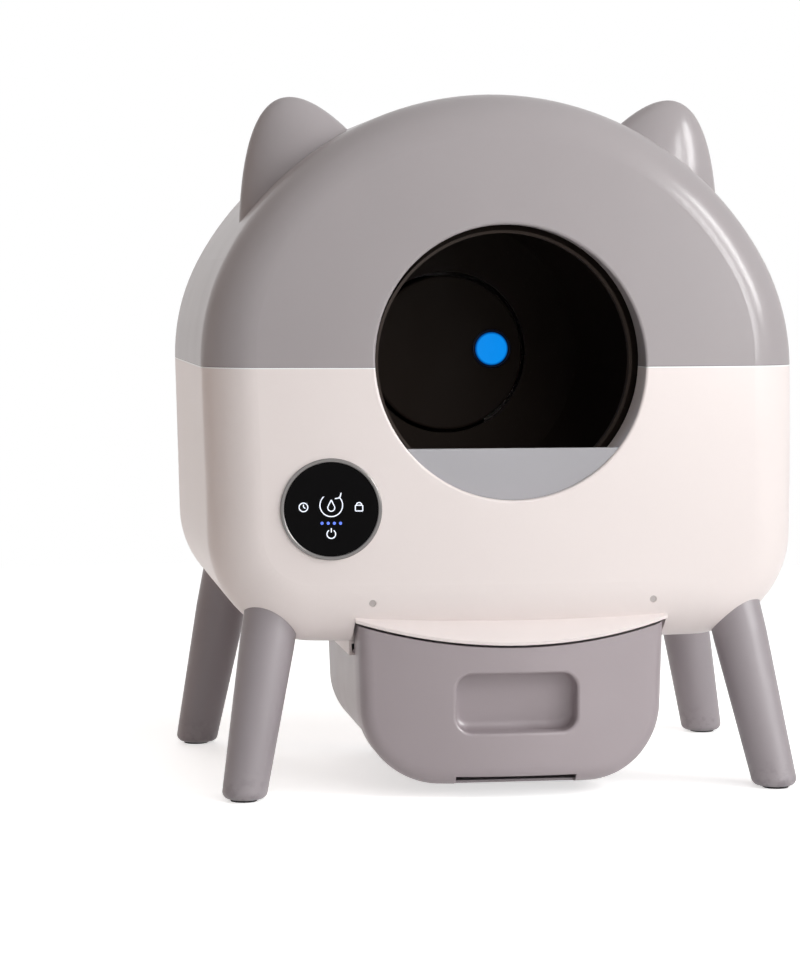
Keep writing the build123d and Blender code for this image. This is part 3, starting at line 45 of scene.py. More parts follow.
bl_info = {
    "name": "Litter box finishes",
    "version": (1, 0, 0),
    "blender": (4, 5, 0),
    "location": "View3D > Sidebar > Litter box",
    "description": "Plastics, panel motifs, lamp and studio for a self-cleaning litter box",
    "category": "Object",
}

MM = 0.001
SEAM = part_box("upper_shell")[0][2] + 0.014     # the dome's tabs hang 14 mm below the seam
CROWN_MIDDLE = Vector((0.0, 1.257, 0.190))     # middle of the ball that the front is part of
GLASS_FACE = 1.25 * MM                         # from the middle of the touch glass out to its face
SATIN = 0.3                                    # specular level of the legs
MATT = 0.2                                     # specular level of the tub, the drum and the floor
WIDE_WINDOW = (2.67, -1.43, 2.19), (0.6, 1.4)  # middle and size of each window, in metres
NARROW_WINDOW = (2.2, -2.3, 1.95), (0.26, 1.5)
NARROW_SHARE = 0.58                            # glint of the narrow window beside that of the wide one
LIGHTS_AIM = Vector((0.0, 0.0, 0.4))
CAMERA_PLACE = (-0.52686, -3.02981, 0.50324)
CAMERA_YAW = math.radians(8.417)               # turned to the right
CAMERA_PITCH = math.radians(4.073)             # tipped down


def linear(red, green, blue):
    """Scene colour of an 8-bit screen colour, by the usual screen curve."""
    screen = np.array([red, green, blue]) / 255.0
    return tuple(np.where(screen <= 0.04045, screen / 12.92, ((screen + 0.055) / 1.055) ** 2.4))


def middle_of(node):
    """Middle of a node's box at rest."""
    low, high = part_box(node)
    return (Vector(low) + Vector(high)) / 2


def colour(name, description, default):
    """A colour that a user can change."""
    return bpy.props.FloatVectorProperty(
        name=name, description=description, default=default, subtype="COLOR", size=3, min=0.0, max=1.0)


def length(name, description, default):
    """A length that a user can change, in metres."""
    return bpy.props.FloatProperty(
        name=name, description=description, default=default, subtype="DISTANCE", unit="LENGTH", min=0.0, precision=5)


def amount(name, description, default):
    """A plain number that a user can change."""
    return bpy.props.FloatProperty(name=name, description=description, default=default, min=0.0)


class CasingSettings(bpy.types.PropertyGroup):
    """Colours and grain of the casing, the drawer and the legs."""

    dome: colour("Dome", "Grey of the dome and the ears", linear(172, 166, 168))
    tub: colour("Tub", "Warm white of the tub", linear(242, 233, 231))
    guard: colour("Guard", "Light grey of the threshold plate", linear(174, 173, 178))
    drawer: colour("Drawer", "Grey of the drawer front and the bin", linear(168, 158, 162))
    legs: colour("Legs", "Grey of the legs", linear(160, 153, 157))
    grain: length("Grain", "Spacing of the moulded grain", 0.0009)
    # Painted highlight: height of the lightened band along the top edge of the tub, under the seam.
    seam: length("Seam", "Height of the light edge under the seam", 0.0013)


class DrumSettings(bpy.types.PropertyGroup):
    """Colours of the drum and of what drives it."""

    drum: colour("Drum", "Black of the drum", linear(54, 45, 40))
    nylon: colour("Nylon", "Natural nylon of the gears and brackets", linear(214, 210, 200))
    steel: colour("Steel", "Steel of the motor, plates and screws", linear(186, 187, 190))
    rubber: colour("Rubber", "Rubber of the rollers and foot pads", linear(46, 45, 45))
    board: colour("Board", "Green of the circuit boards", linear(28, 92, 52))


class PanelSettings(bpy.types.PropertyGroup):
    """Control panel: ring, glass and the lit motifs on it."""

    ring: colour("Ring", "Silver of the raised ring", linear(132, 129, 128))
    glass: colour("Glass", "Black of the touch glass", linear(8, 7, 8))
    motif: colour("Motif", "Lit white of the motifs", linear(226, 232, 244))
    signal: colour("Signal", "Lit blue of the level dots", linear(90, 120, 232))
    stroke: length("Stroke", "Width of a motif's line", 0.0011)
    raised: length("Raised", "Height of a motif above the glass", 0.00016)


class LampSettings(bpy.types.PropertyGroup):
    """Round lamp at the back of the drum."""

    middle: colour("Middle", "Blue of the lens", linear(2, 140, 237))
    edge: colour("Edge", "Dark blue towards the lens's edge", linear(4, 58, 128))
    glow: amount("Glow", "Strength of the light from the lens", 1.0)
    collar: length("Collar", "Width of the half-round collar round the lens", 0.0032)


class StudioSettings(bpy.types.PropertyGroup):
    """Floor, lights and camera."""

    floor: colour("Floor", "Colour of the floor", (0.88, 0.877, 0.873))
    lift: amount("Lift", "Light that the camera sees the floor add of itself", 0.6)
    sky: amount("Sky", "Strength of the even light from all round", 0.08)
    key: amount("Key", "Power of the large soft light in front, in watts", 46.0)
    ceiling: amount("Ceiling", "Power of the soft light from above, in watts", 24.0)
    room: amount("Room", "Power of the warm light on the left, in watts", 5.5)
    behind: amount("Behind", "Power of the soft light behind, in watts", 52.0)
    window: amount("Window", "Power of the wide window on the right, in watts", 35.0)
    glint: amount("Glint", "Power of the window light that shows only in gloss, in watts", 130.0)
    lens: length("Lens", "Focal length of the camera", 0.10708)


def start_material(name):
    """A new material, its node tree, its one shader and the piece's own coordinates."""
    material = bpy.data.materials.new(name)
    material.use_nodes = True
    tree = material.node_tree
    shader = tree.nodes["Principled BSDF"]
    coordinates = tree.nodes.new("ShaderNodeTexCoord").outputs["Object"]
    return material, tree, shader, coordinates


def noise(tree, place, scale, detail=3.0, stretch=(1.0, 1.0, 1.0), offset=(0.0, 0.0, 0.0)):
    """Soft noise with a number of waves per metre, drawn out along the axes by stretch."""
    mapping = tree.nodes.new("ShaderNodeMapping")
    mapping.inputs["Scale"].default_value = stretch
    mapping.inputs["Location"].default_value = offset
    texture = tree.nodes.new("ShaderNodeTexNoise")
    texture.inputs["Scale"].default_value = scale
    texture.inputs["Detail"].default_value = detail
    tree.links.new(place, mapping.inputs["Vector"])
    tree.links.new(mapping.outputs["Vector"], texture.inputs["Vector"])
    return texture.outputs["Fac"]


def remap(tree, value, source, target):
    """A value taken from one span to another and held at its ends."""
    node = tree.nodes.new("ShaderNodeMapRange")
    node.inputs["From Min"].default_value, node.inputs["From Max"].default_value = source
    node.inputs["To Min"].default_value, node.inputs["To Max"].default_value = target
    tree.links.new(value, node.inputs["Value"])
    return node.outputs["Result"]


def blended(tree, factor, first, second):
    """Two colours, or colour sockets, mixed by a factor."""
    node = tree.nodes.new("ShaderNodeMix")
    node.data_type = "RGBA"
    tree.links.new(factor, node.inputs[0])
    for socket, given in ((node.inputs[6], first), (node.inputs[7], second)):
        if isinstance(given, bpy.types.NodeSocket):
            tree.links.new(given, socket)
        else:
            socket.default_value = (*given[:3], 1.0)
    return node.outputs[2]


def combine(tree, operation, first, second):
    """Two numbers, or number sockets, put together."""
    node = tree.nodes.new("ShaderNodeMath")
    node.operation = operation
    for socket, given in zip(node.inputs, (first, second)):
        if isinstance(given, bpy.types.NodeSocket):
            tree.links.new(given, socket)
        else:
            socket.default_value = given
    return node.outputs[0]


def background_rays(tree):
    """1 for the rays that show the background itself, straight, in a gloss or through glass, and 0 for the rest."""
    rays = tree.nodes.new("ShaderNodeLightPath").outputs
    glossy = combine(tree, "MAXIMUM", rays["Is Camera Ray"], rays["Is Glossy Ray"])
    return combine(tree, "MAXIMUM", glossy, rays["Is Transmission Ray"])


def relief(tree, shader, height, depth, strength):
    """Surface relief from a height of 0 to 1 that stands for depth in metres."""
    node = tree.nodes.new("ShaderNodeBump")
    node.inputs["Distance"].default_value = depth
    node.inputs["Strength"].default_value = strength
    tree.links.new(height, node.inputs["Height"])
    tree.links.new(node.outputs["Normal"], shader.inputs["Normal"])


def shade(given, factor):
    """A colour made lighter or darker."""
    return tuple(min(1.0, part * factor) for part in given)


def height_of(tree, coordinates):
    """Height above the ground as a socket."""
    node = tree.nodes.new("ShaderNodeSeparateXYZ")
    tree.links.new(coordinates, node.inputs[0])
    return node.outputs["Z"]


def distance_from(tree, coordinates, point):
    """Distance from a point as a socket."""
    node = tree.nodes.new("ShaderNodeVectorMath")
    node.operation = "DISTANCE"
    node.inputs[1].default_value = point
    tree.links.new(coordinates, node.inputs[0])
    return node.outputs["Value"]


def moulded_plastic(name, tone, gloss, grain, drift=0.05):
    """Moulded plastic: slow drift of the tone, uneven gloss and a fine spark-eroded grain.

    Returns the material, its tree, its shader, its coordinates and the socket of the drifting colour."""
    material, tree, shader, coordinates = start_material(name)
    cloud = noise(tree, coordinates, 5.0, 2.0)
    clouded = remap(tree, cloud, (0.3, 0.7), (0.0, 1.0))
    tint = blended(tree, clouded, shade(tone, 1 - drift), shade(tone, 1 + drift / 2))
    smear = noise(tree, coordinates, 14.0, 3.0, stretch=(1.0, 1.0, 0.5))
    tree.links.new(remap(tree, smear, (0.3, 0.7), gloss), shader.inputs["Roughness"])
    relief(tree, shader, noise(tree, coordinates, 1 / grain, 2.0), 0.00006, 0.35)
    tree.links.new(tint, shader.inputs["Base Color"])
    return material, tree, shader, coordinates, tint


def paint(material, *nodes):
    """Give a material to CAD nodes."""
    for node in nodes:
        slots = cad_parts[node].material_slots
        if not slots:
            raise RuntimeError(f"{node} has no material slot")
        for slot in slots:
            slot.material = material


def paint_seam_light_and_shade(tree, shader, coordinates, tint, span, line):
    """Paint a band of another colour between two heights of a shell into its base colour: painted shade or painted
    highlight along a seam, as the colour given makes it.
    """
    height = height_of(tree, coordinates)
    above = combine(tree, "GREATER_THAN", height, span[0])
    below = combine(tree, "LESS_THAN", height, span[1])
    tree.links.new(blended(tree, combine(tree, "MULTIPLY", above, below), tint, line), shader.inputs["Base Color"])


def steel_finish(tone):
    """Steel with fine lines along the depth and a slow change of gloss."""
    material, tree, shader, coordinates = start_material("drawn_steel")
    lines = noise(tree, coordinates, 900.0, 2.0, stretch=(1.0, 0.03, 1.0))
    cloud = noise(tree, coordinates, 40.0)
    tree.links.new(blended(tree, lines, shade(tone, 0.82), shade(tone, 1.05)), shader.inputs["Base Color"])
    tree.links.new(remap(tree, cloud, (0.3, 0.7), (0.26, 0.42)), shader.inputs["Roughness"])
    shader.inputs["Metallic"].default_value = 1.0
    relief(tree, shader, lines, 0.00004, 0.3)
    return material


def board_finish(tone):
    """Circuit board: copper tracks under green lacquer and bare pads on a 2.5 mm grid."""
    material, tree, shader, coordinates = start_material("lacquered_board")
    cells = tree.nodes.new("ShaderNodeTexVoronoi")
    cells.distance = "MANHATTAN"
    cells.inputs["Scale"].default_value = 160.0
    cells.inputs["Randomness"].default_value = 0.55
    tree.links.new(coordinates, cells.inputs["Vector"])
    tracks = remap(tree, cells.outputs["Distance"], (0.44, 0.5), (0.0, 1.0))
    pads = remap(tree, cells.outputs["Distance"], (0.10, 0.14), (1.0, 0.0))
    lacquer = blended(tree, tracks, tone, shade(tone, 1.9))
    tree.links.new(blended(tree, pads, lacquer, linear(206, 186, 130)), shader.inputs["Base Color"])
    tree.links.new(remap(tree, tracks, (0.0, 1.0), (0.32, 0.24)), shader.inputs["Roughness"])
    relief(tree, shader, tracks, 0.00004, 0.4)
    return material


class LITTERBOX_OT_casing(bpy.types.Operator):
    """Finish the dome, the tub, the threshold plate and the screw plugs"""

    bl_idname = "litterbox.casing"
    bl_label = "Casing"

    def execute(self, context):
        look = context.scene.litter_casing
        dome = moulded_plastic("dome_grey", look.dome, (0.29, 0.33), look.grain, 0.03)
        # Painted shade: the dome's grey is darkened to about half from its bottom up to just above the seam, for the
        # shadow along the parting line.
        paint_seam_light_and_shade(*dome[1:], (0.0, SEAM + 0.6 * MM), shade(look.dome, 0.55))
        dome[2].inputs["Specular IOR Level"].default_value = 0.05
        dome[2].inputs["Coat Weight"].default_value = 0.15
        dome[2].inputs["Coat Roughness"].default_value = 0.18
        paint(dome[0], "upper_shell")
        tub = moulded_plastic("tub_white", look.tub, (0.31, 0.34), look.grain, 0.01)
        # Painted highlight: the tub's white is lightened from just under the seam upwards, for the light that its
        # top edge catches.
        paint_seam_light_and_shade(*tub[1:], (SEAM - look.seam, 1.0), shade(look.tub, 1.25))
        tub[2].inputs["Specular IOR Level"].default_value = MATT
        paint(tub[0], "lower_shell", "drawer_rail_left", "drawer_rail_right")
        guard = moulded_plastic("guard_grey", look.guard, (0.30, 0.40), look.grain)
        paint(guard[0], "entry_guard")
        # Painted shade: the screw plugs take the tub's white darkened to about 0.62, for the shade in the holes they
        # sit in.
        plugs = moulded_plastic("plug_white_painted_shade", shade(look.tub, 0.62), (0.35, 0.45), look.grain)
        paint(plugs[0], "screw_plugs")
        return {"FINISHED"}


class LITTERBOX_OT_drawer(bpy.types.Operator):
    """Finish the drawer front, the bin and the frame that holds the bag"""

    bl_idname = "litterbox.drawer"
    bl_label = "Drawer"

    def execute(self, context):
        look = context.scene.litter_casing
        front = moulded_plastic("drawer_grey", look.drawer, (0.34, 0.44), look.grain)
        paint(front[0], "drawer_front")
        # Painted shade: the bin takes the drawer's grey made a little darker, for the shade it sits in behind the
        # front.
        shaded_bin_wall = moulded_plastic("bin_grey_painted_shade", shade(look.drawer, 0.94), (0.30, 0.40), look.grain)
        paint(shaded_bin_wall[0], "drawer_bin")
        holder = moulded_plastic("bag_frame_black", context.scene.litter_drum.drum, (0.35, 0.5), look.grain)
        paint(holder[0], "bag_frame")
        return {"FINISHED"}


class LITTERBOX_OT_legs(bpy.types.Operator):
    """Finish the four legs, darker in patches towards the ground, and their pads"""

    bl_idname = "litterbox.legs"
    bl_label = "Legs"

    def execute(self, context):
        look = context.scene.litter_casing
        legs, tree, shader, coordinates, tint = moulded_plastic("leg_grey", look.legs, (0.34, 0.46), look.grain)
        # Darker patches of grey low on each leg, fading out by 35 mm above the ground.
        low = remap(tree, height_of(tree, coordinates), (0.004, 0.035), (1.0, 0.0))
        marks = remap(tree, noise(tree, coordinates, 120.0, 5.0), (0.48, 0.62), (0.0, 0.45))
        dark_low_patches = combine(tree, "MULTIPLY", low, marks)
        tree.links.new(blended(tree, dark_low_patches, tint, shade(look.legs, 0.62)), shader.inputs["Base Color"])
        shader.inputs["Specular IOR Level"].default_value = SATIN
        paint(legs, "leg_front_left", "leg_front_right", "leg_rear_left", "leg_rear_right")
        pads = moulded_plastic("pad_rubber", context.scene.litter_drum.rubber, (0.7, 0.85), look.grain / 2, 0.2)
        paint(pads[0], "foot_pads")
        return {"FINISHED"}


class LITTERBOX_OT_drum(bpy.types.Operator):
    """Finish the drum, the sieve and the still housing behind them"""

    bl_idname = "litterbox.drum"
    bl_label = "Drum"

    def execute(self, context):
        look = context.scene.litter_drum
        grain = context.scene.litter_casing.grain
        drum, tree, shader, coordinates, tint = moulded_plastic("drum_black", look.drum, (0.58, 0.72), grain, 0.15)
        specks = remap(tree, noise(tree, coordinates, 420.0, 2.0), (0.66, 0.74), (0.0, 0.10))
        tree.links.new(blended(tree, specks, tint, linear(120, 116, 110)), shader.inputs["Base Color"])
        shader.inputs["Specular IOR Level"].default_value = MATT
        paint(drum, "drum_front", "drum_rear")
        sieve = moulded_plastic("sieve_black", shade(look.drum, 1.6), (0.38, 0.5), grain, 0.15)
        paint(sieve[0], "sieve_grate")
        still = moulded_plastic("housing_black", look.drum, (0.58, 0.72), grain, 0.15)
        still[2].inputs["Specular IOR Level"].default_value = MATT
        paint(still[0], "lamp_housing", "module_bracket", "power_inlet")
        return {"FINISHED"}


class LITTERBOX_OT_drive(bpy.types.Operator):
    """Finish the gears, the motor, the rollers, the boards and the screws"""

    bl_idname = "litterbox.drive"
    bl_label = "Drive"

    def execute(self, context):
        look = context.scene.litter_drum
        sides = [f"{end}_{side}" for end in ("front", "rear") for side in ("left", "right")]
        nylon = moulded_plastic("gear_nylon", look.nylon, (0.4, 0.52), 0.0006, 0.06)
        nylon[2].inputs["Subsurface Weight"].default_value = 0.08
        nylon[2].inputs["Subsurface Scale"].default_value = 0.003
        paint(nylon[0], "ring_gear", "drive_pinion", *[f"roller_bracket_{side}" for side in sides])
        rubber = moulded_plastic("roller_rubber", look.rubber, (0.62, 0.78), 0.0005, 0.2)
        paint(rubber[0], *[f"drum_roller_{side}" for side in sides])
        steel = steel_finish(look.steel)
        screws = [f"{held}_screws" for held in ("leg", "drum", "motor", "bracket", "cap", "rail", "board")]
        paint(steel, "gearbox", "drive_motor", "motor_bracket", "roller_axles", "weight_cells", *screws)
        paint(board_finish(look.board), "main_board", "panel_board", "lamp_board")
        return {"FINISHED"}


def panel_frame():
    """Middle of the glass's face, the direction to the right, upwards along the glass, and out of it."""
    out = (middle_of("panel_glass") - CROWN_MIDDLE).normalized()
    right = Vector((0, 0, 1)).cross(-out).normalized() * -1
    up = out.cross(right)
    face = middle_of("panel_glass") + out * GLASS_FACE
    return np.array(face), np.array(right), np.array(up), np.array(out)


def bead(path, width, height, sides=10):
    """A line of half-round section laid along a path in the plane.

    At each point of the path the section is an ellipse, width across and twice height tall, square to the path.
    Towards an open end its size follows a quarter circle down to a point, and a path that meets itself has no ends.
    Returns the points as across, up and out of the plane, and the faces."""
    path = np.asarray(path, float)
    closed = bool(np.allclose(path[0], path[-1]))
    along = np.roll(path[:-1], -1, 0) - np.roll(path[:-1], 1, 0) if closed else np.gradient(path, axis=0)
    path = path[:-1] if closed else path
    along = along / np.linalg.norm(along, axis=1, keepdims=True)
    square = np.stack([-along[:, 1], along[:, 0]], 1)
    steps = np.linalg.norm(np.diff(path, axis=0), axis=1)
    run = np.concatenate([[0.0], np.cumsum(steps)])
    from_end = np.minimum(run, run[-1] - run) / (width / 2)
    size = np.ones(len(path)) if closed else np.sqrt(np.clip(1 - (1 - np.clip(from_end, 0.02, 1)) ** 2, 0, 1))
    turn = np.linspace(0, 2 * np.pi, sides, endpoint=False)
    across = size[:, None] * width / 2 * np.cos(turn)
    out = size[:, None] * height * np.sin(turn)
    flat = path[:, None, :] + across[:, :, None] * square[:, None, :]
    points = np.concatenate([flat, out[:, :, None]], 2).reshape(-1, 3)
    rings = len(path)
    first = np.arange(rings if closed else rings - 1)
    corner = np.arange(sides)
    here = first[:, None] * sides + corner
    there = ((first[:, None] + 1) % rings) * sides + corner
    beside = np.roll(corner, -1)
    here_beside = first[:, None] * sides + beside
    there_beside = ((first[:, None] + 1) % rings) * sides + beside
    faces = np.stack([here, here_beside, there_beside, there], 2).reshape(-1, 4).tolist()
    if not closed:
        faces += [corner[::-1].tolist(), (corner + (rings - 1) * sides).tolist()]
    return points, faces


def arc(middle, radius, start, end, steps=48):
    """Points of an arc about a middle, with its angles in degrees from the right."""
    turn = np.radians(np.linspace(start, end, steps))
    return np.asarray(middle) + radius * np.stack([np.cos(turn), np.sin(turn)], 1)


def stroke(start, end, steps=14):
    """Points of a straight line, closer together towards its ends."""
    share = (1 - np.cos(np.linspace(0, np.pi, steps)))[:, None] / 2
    return np.asarray(start) * (1 - share) + np.asarray(end) * share


def joined(name, beads, place):
    """One mesh object of several beads, carried from their plane to its place by the function given."""
    points = np.concatenate([made[0] for made in beads])
    starts = np.cumsum([0, *[len(made[0]) for made in beads[:-1]]])
    faces = [[corner + int(start) for corner in face] for start, made in zip(starts, beads) for face in made[1]]
    mesh = bpy.data.meshes.new(name)
    mesh.from_pydata(place(points).tolist(), [], faces)
    mesh.polygons.foreach_set("use_smooth", np.ones(len(mesh.polygons), bool))
    mesh.update()
    piece = bpy.data.objects.new(name, mesh)
    bpy.context.scene.collection.objects.link(piece)
    return piece


def lit_finish(name, tone, strength):
    """Light from behind a printed mark, a little uneven."""
    material, tree, shader, coordinates = start_material(name)
    spread = noise(tree, coordinates, 260.0, 2.0)
    tint = blended(tree, spread, shade(tone, 0.78), tone)
    tree.links.new(tint, shader.inputs["Base Color"])
    tree.links.new(tint, shader.inputs["Emission Color"])
    shader.inputs["Emission Strength"].default_value = strength
    shader.inputs["Roughness"].default_value = 0.3
    return material


class LITTERBOX_OT_panel(bpy.types.Operator):
    """Finish the ring and the glass, and lay the lit motifs on the glass"""

    bl_idname = "litterbox.panel"
    bl_label = "Control panel"

    def execute(self, context):
        look = context.scene.litter_panel
        self.finish_ring(look)
        self.finish_glass(look)
        middle, right, up, out = panel_frame()

        def on_glass(points):
            """Points across, up and out of the glass, in the frame of the box."""
            return middle + points @ np.stack([right, up, out])

        width, high = look.stroke, look.raised
        cycle = [arc((0, 4 * MM), 11 * MM, 130, 410), stroke((9.6 * MM, 16.2 * MM), (8.3 * MM, 11.2 * MM)),
                 stroke((3.4 * MM, 10.4 * MM), (8.3 * MM, 11.2 * MM))]
        drop = [arc((0, 1.6 * MM), 3.4 * MM, 150, 390), stroke((-2.94 * MM, 3.3 * MM), (0, 9.2 * MM)),
                stroke((2.94 * MM, 3.3 * MM), (0, 9.2 * MM))]
        clock = [arc((-27 * MM, 2 * MM), 4.2 * MM, 0, 360), stroke((-27 * MM, 2 * MM), (-27 * MM, 4.8 * MM)),
                 stroke((-27 * MM, 2 * MM), (-25 * MM, 1 * MM))]
        lock = [arc((27 * MM, 4 * MM), 2.6 * MM, 0, 180), stroke((23.4 * MM, 4 * MM), (30.6 * MM, 4 * MM)),
                stroke((23.4 * MM, -1.6 * MM), (30.6 * MM, -1.6 * MM)),
                stroke((23.4 * MM, 4 * MM), (23.4 * MM, -1.6 * MM)),
                stroke((30.6 * MM, 4 * MM), (30.6 * MM, -1.6 * MM))]
        power = [arc((0, -24 * MM), 4.2 * MM, 120, 420), stroke((0, -22.6 * MM), (0, -18.2 * MM))]
        lines = [bead(path, width, high) for path in [*cycle, *drop, *clock, *lock, *power]]
        motifs = joined("panel_motifs", lines, on_glass)
        motifs.data.materials.append(lit_finish("motif_white", look.motif, 0.75))
        dots = [bead(arc((x * MM, -13.5 * MM), 0.75 * MM, 0, 360, 20), 1.5 * MM, high) for x in (-9, -3, 3, 9)]
        signals = joined("panel_signals", dots, on_glass)
        signals.data.materials.append(lit_finish("signal_blue", look.signal, 0.9))
        for piece in (motifs, signals):
            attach(piece, "base")
        return {"FINISHED"}

    def finish_ring(self, look):
        """Silver ring with fine turned lines round its middle."""
        material, tree, shader, coordinates = start_material("ring_silver")
        reach = distance_from(tree, coordinates, middle_of("panel_bezel"))
        lines = noise(tree, reach, 6000.0, 1.0)
        tint = blended(tree, lines, shade(look.ring, 0.86), shade(look.ring, 1.05))
        tree.links.new(tint, shader.inputs["Base Color"])
        tree.links.new(remap(tree, lines, (0.3, 0.7), (0.28, 0.38)), shader.inputs["Roughness"])
        shader.inputs["Metallic"].default_value = 0.85
        paint(material, "panel_bezel")

    def finish_glass(self, look):
        """Black touch glass with faint finger smears in its gloss."""
        material, tree, shader, coordinates = start_material("touch_glass")
        smears = noise(tree, coordinates, 70.0, 4.0, stretch=(1.0, 1.0, 0.4))
        tint = blended(tree, smears, shade(look.glass, 0.8), shade(look.glass, 1.3))
        tree.links.new(tint, shader.inputs["Base Color"])
        tree.links.new(remap(tree, smears, (0.35, 0.7), (0.05, 0.16)), shader.inputs["Roughness"])
        shader.inputs["Specular IOR Level"].default_value = 0.05
        paint(material, "panel_glass")


class LITTERBOX_OT_lamp(bpy.types.Operator):
    """Finish the glowing lens and set a half-round collar round it"""

    bl_idname = "litterbox.lamp"
    bl_label = "Lamp"

    def execute(self, context):
        look = context.scene.litter_lamp
        low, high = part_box("lamp_lens")
        middle = middle_of("lamp_lens")
        radius = (high[0] - low[0]) / 2
        material, tree, shader, coordinates = start_material("lens_blue")
        reach = distance_from(tree, coordinates, (middle.x, low[1], middle.z))
        edge = remap(tree, reach, (radius * 0.86, radius), (0.0, 1.0))
        haze = remap(tree, noise(tree, coordinates, 90.0), (0.3, 0.7), (0.0, 0.25))
        lens = blended(tree, haze, look.middle, shade(look.middle, 0.86))
        tint = blended(tree, edge, lens, look.edge)
        shader.inputs["Base Color"].default_value = (*shade(look.edge, 0.3), 1.0)
        tree.links.new(tint, shader.inputs["Emission Color"])
        shader.inputs["Emission Strength"].default_value = look.glow
        shader.inputs["Specular IOR Level"].default_value = 0.1
        shader.inputs["Roughness"].default_value = 0.25
        paint(material, "lamp_lens")
        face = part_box("lamp_housing")[0][1]

        def on_housing(points):
            """Points across, up and out of the housing's face, in the frame of the box."""
            return np.array([middle.x, face, middle.z]) + points[:, [0, 2, 1]] * np.array([1.0, -1.0, 1.0])

        ring = bead(arc((0, 0), radius + look.collar * 0.6, 360, 0, 97), look.collar, look.collar * 0.4)
        collar = joined("lamp_collar", [ring], on_housing)
        finish = moulded_plastic("collar_blue_black", shade(look.edge, 0.25), (0.3, 0.4), 0.0006, 0.1)
        collar.data.materials.append(finish[0])
        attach(collar, "base")
        return {"FINISHED"}


class LITTERBOX_OT_studio(bpy.types.Operator):
    """Set the pale floor, the soft lights and the camera"""

    bl_idname = "litterbox.studio"
    bl_label = "Studio"

    def execute(self, context):
        look = context.scene.litter_studio
        self.lay_floor(context, look)
        self.light(context, look)
        self.set_camera(context, look)
        context.scene.view_settings.view_transform = "Standard"
        return {"FINISHED"}

    def lay_floor(self, context, look):
        """Flat round floor as rings of points about the origin, each ring 1.6 times as far out as the last."""
        turn = np.linspace(0, 2 * np.pi, 96, endpoint=False)
        reach = np.concatenate([[0.2], 0.4 * 1.6 ** np.arange(9)])
        flat = reach[:, None, None] * np.stack([np.cos(turn), np.sin(turn)], 1)[None]
        points = np.concatenate([flat, np.zeros((*flat.shape[:2], 1))], 2).reshape(-1, 3)
        ring, step = np.meshgrid(np.arange(len(reach) - 1), np.arange(len(turn)), indexing="ij")
        beside = (step + 1) % len(turn)
        corners = [ring * len(turn) + step, (ring + 1) * len(turn) + step, (ring + 1) * len(turn) + beside,
                   ring * len(turn) + beside]
        faces = np.stack(corners, 2).reshape(-1, 4).tolist()
        mesh = bpy.data.meshes.new("studio_floor")
        mesh.from_pydata(points.tolist(), [], [np.arange(len(turn)).tolist(), *faces])
        floor = bpy.data.objects.new("studio_floor", mesh)
        context.scene.collection.objects.link(floor)
        material, tree, shader, coordinates = start_material("floor_pale")
        cloud = noise(tree, coordinates, 3.0, 3.0)
        tint = blended(tree, cloud, shade(look.floor, 0.985), shade(look.floor, 1.01))
        tree.links.new(tint, shader.inputs["Base Color"])
        shader.inputs["Roughness"].default_value = 0.8
        shader.inputs["Specular IOR Level"].default_value = MATT
        shader.inputs["Emission Color"].default_value = (1.0, 1.0, 1.0, 1.0)
        seen = background_rays(tree)
        tree.links.new(combine(tree, "MULTIPLY", seen, look.lift), shader.inputs["Emission Strength"])
        reach = remap(tree, distance_from(tree, coordinates, (0, 0, 0)), (0.5, 2.2), (0.0, 1.0))
        far = combine(tree, "MULTIPLY", seen, reach)
        glow = tree.nodes.new("ShaderNodeEmission")
        glow.inputs["Color"].default_value = (1.0, 1.0, 1.0, 1.0)
        both = tree.nodes.new("ShaderNodeMixShader")
        tree.links.new(far, both.inputs[0])
        tree.links.new(shader.outputs[0], both.inputs[1])
        tree.links.new(glow.outputs[0], both.inputs[2])
        tree.links.new(both.outputs[0], tree.nodes["Material Output"].inputs["Surface"])
        mesh.materials.append(material)

    def light(self, context, look):
        """Even light from all round, soft lights in front, above, on the left and behind, and two windows.

        Only the windows show in gloss. Their glints brighten that and light nothing else."""
        world = bpy.data.worlds.new("studio_air")
        world.use_nodes = True
        context.scene.world = world
        tree = world.node_tree
        air = tree.nodes["Background"]
        air.inputs["Color"].default_value = (1.0, 0.85, 0.75, 1.0)
        air.inputs["Strength"].default_value = look.sky
        seen = tree.nodes.new("ShaderNodeBackground")
        seen.inputs["Color"].default_value = (1.0, 1.0, 1.0, 1.0)
        either = tree.nodes.new("ShaderNodeMixShader")
        tree.links.new(background_rays(tree), either.inputs[0])
        tree.links.new(air.outputs[0], either.inputs[1])
        tree.links.new(seen.outputs[0], either.inputs[2])
        tree.links.new(either.outputs[0], tree.nodes["World Output"].inputs["Surface"])
        white = (1.0, 1.0, 1.0)
        lamps = [
            ("key", (0.95, -3.1, 1.3), (2.4, 1.8), look.key, white),
            ("ceiling", (0.2, -0.5, 3.3), (2.2, 1.8), look.ceiling, white),
            ("window_side", *WIDE_WINDOW, look.window, white),
            ("window_front", *NARROW_WINDOW, look.window / 3, white),
            ("glint_side", *WIDE_WINDOW, look.glint, white),
            ("glint_front", *NARROW_WINDOW, look.glint * NARROW_SHARE, white),
            ("room_left", (-2.5, 0.9, 0.9), (0.9, 1.6), look.room, (1.0, 0.55, 0.33)),
            ("room_behind", (-0.6, 3.2, 1.7), (2.4, 1.8), look.behind, white),
        ]
        for name, place, size, power, tone in lamps:
            lamp = bpy.data.lights.new(name, "AREA")
            lamp.shape = "RECTANGLE"
            lamp.size, lamp.size_y = size
            lamp.energy = power
            lamp.color = tone
            holder = bpy.data.objects.new(name, lamp)
            holder.visible_glossy = name.startswith(("window", "glint"))
            holder.visible_diffuse = not name.startswith("glint")
            holder.location = place
            holder.rotation_euler = (LIGHTS_AIM - Vector(place)).to_track_quat("-Z", "Y").to_euler()
            context.scene.collection.objects.link(holder)

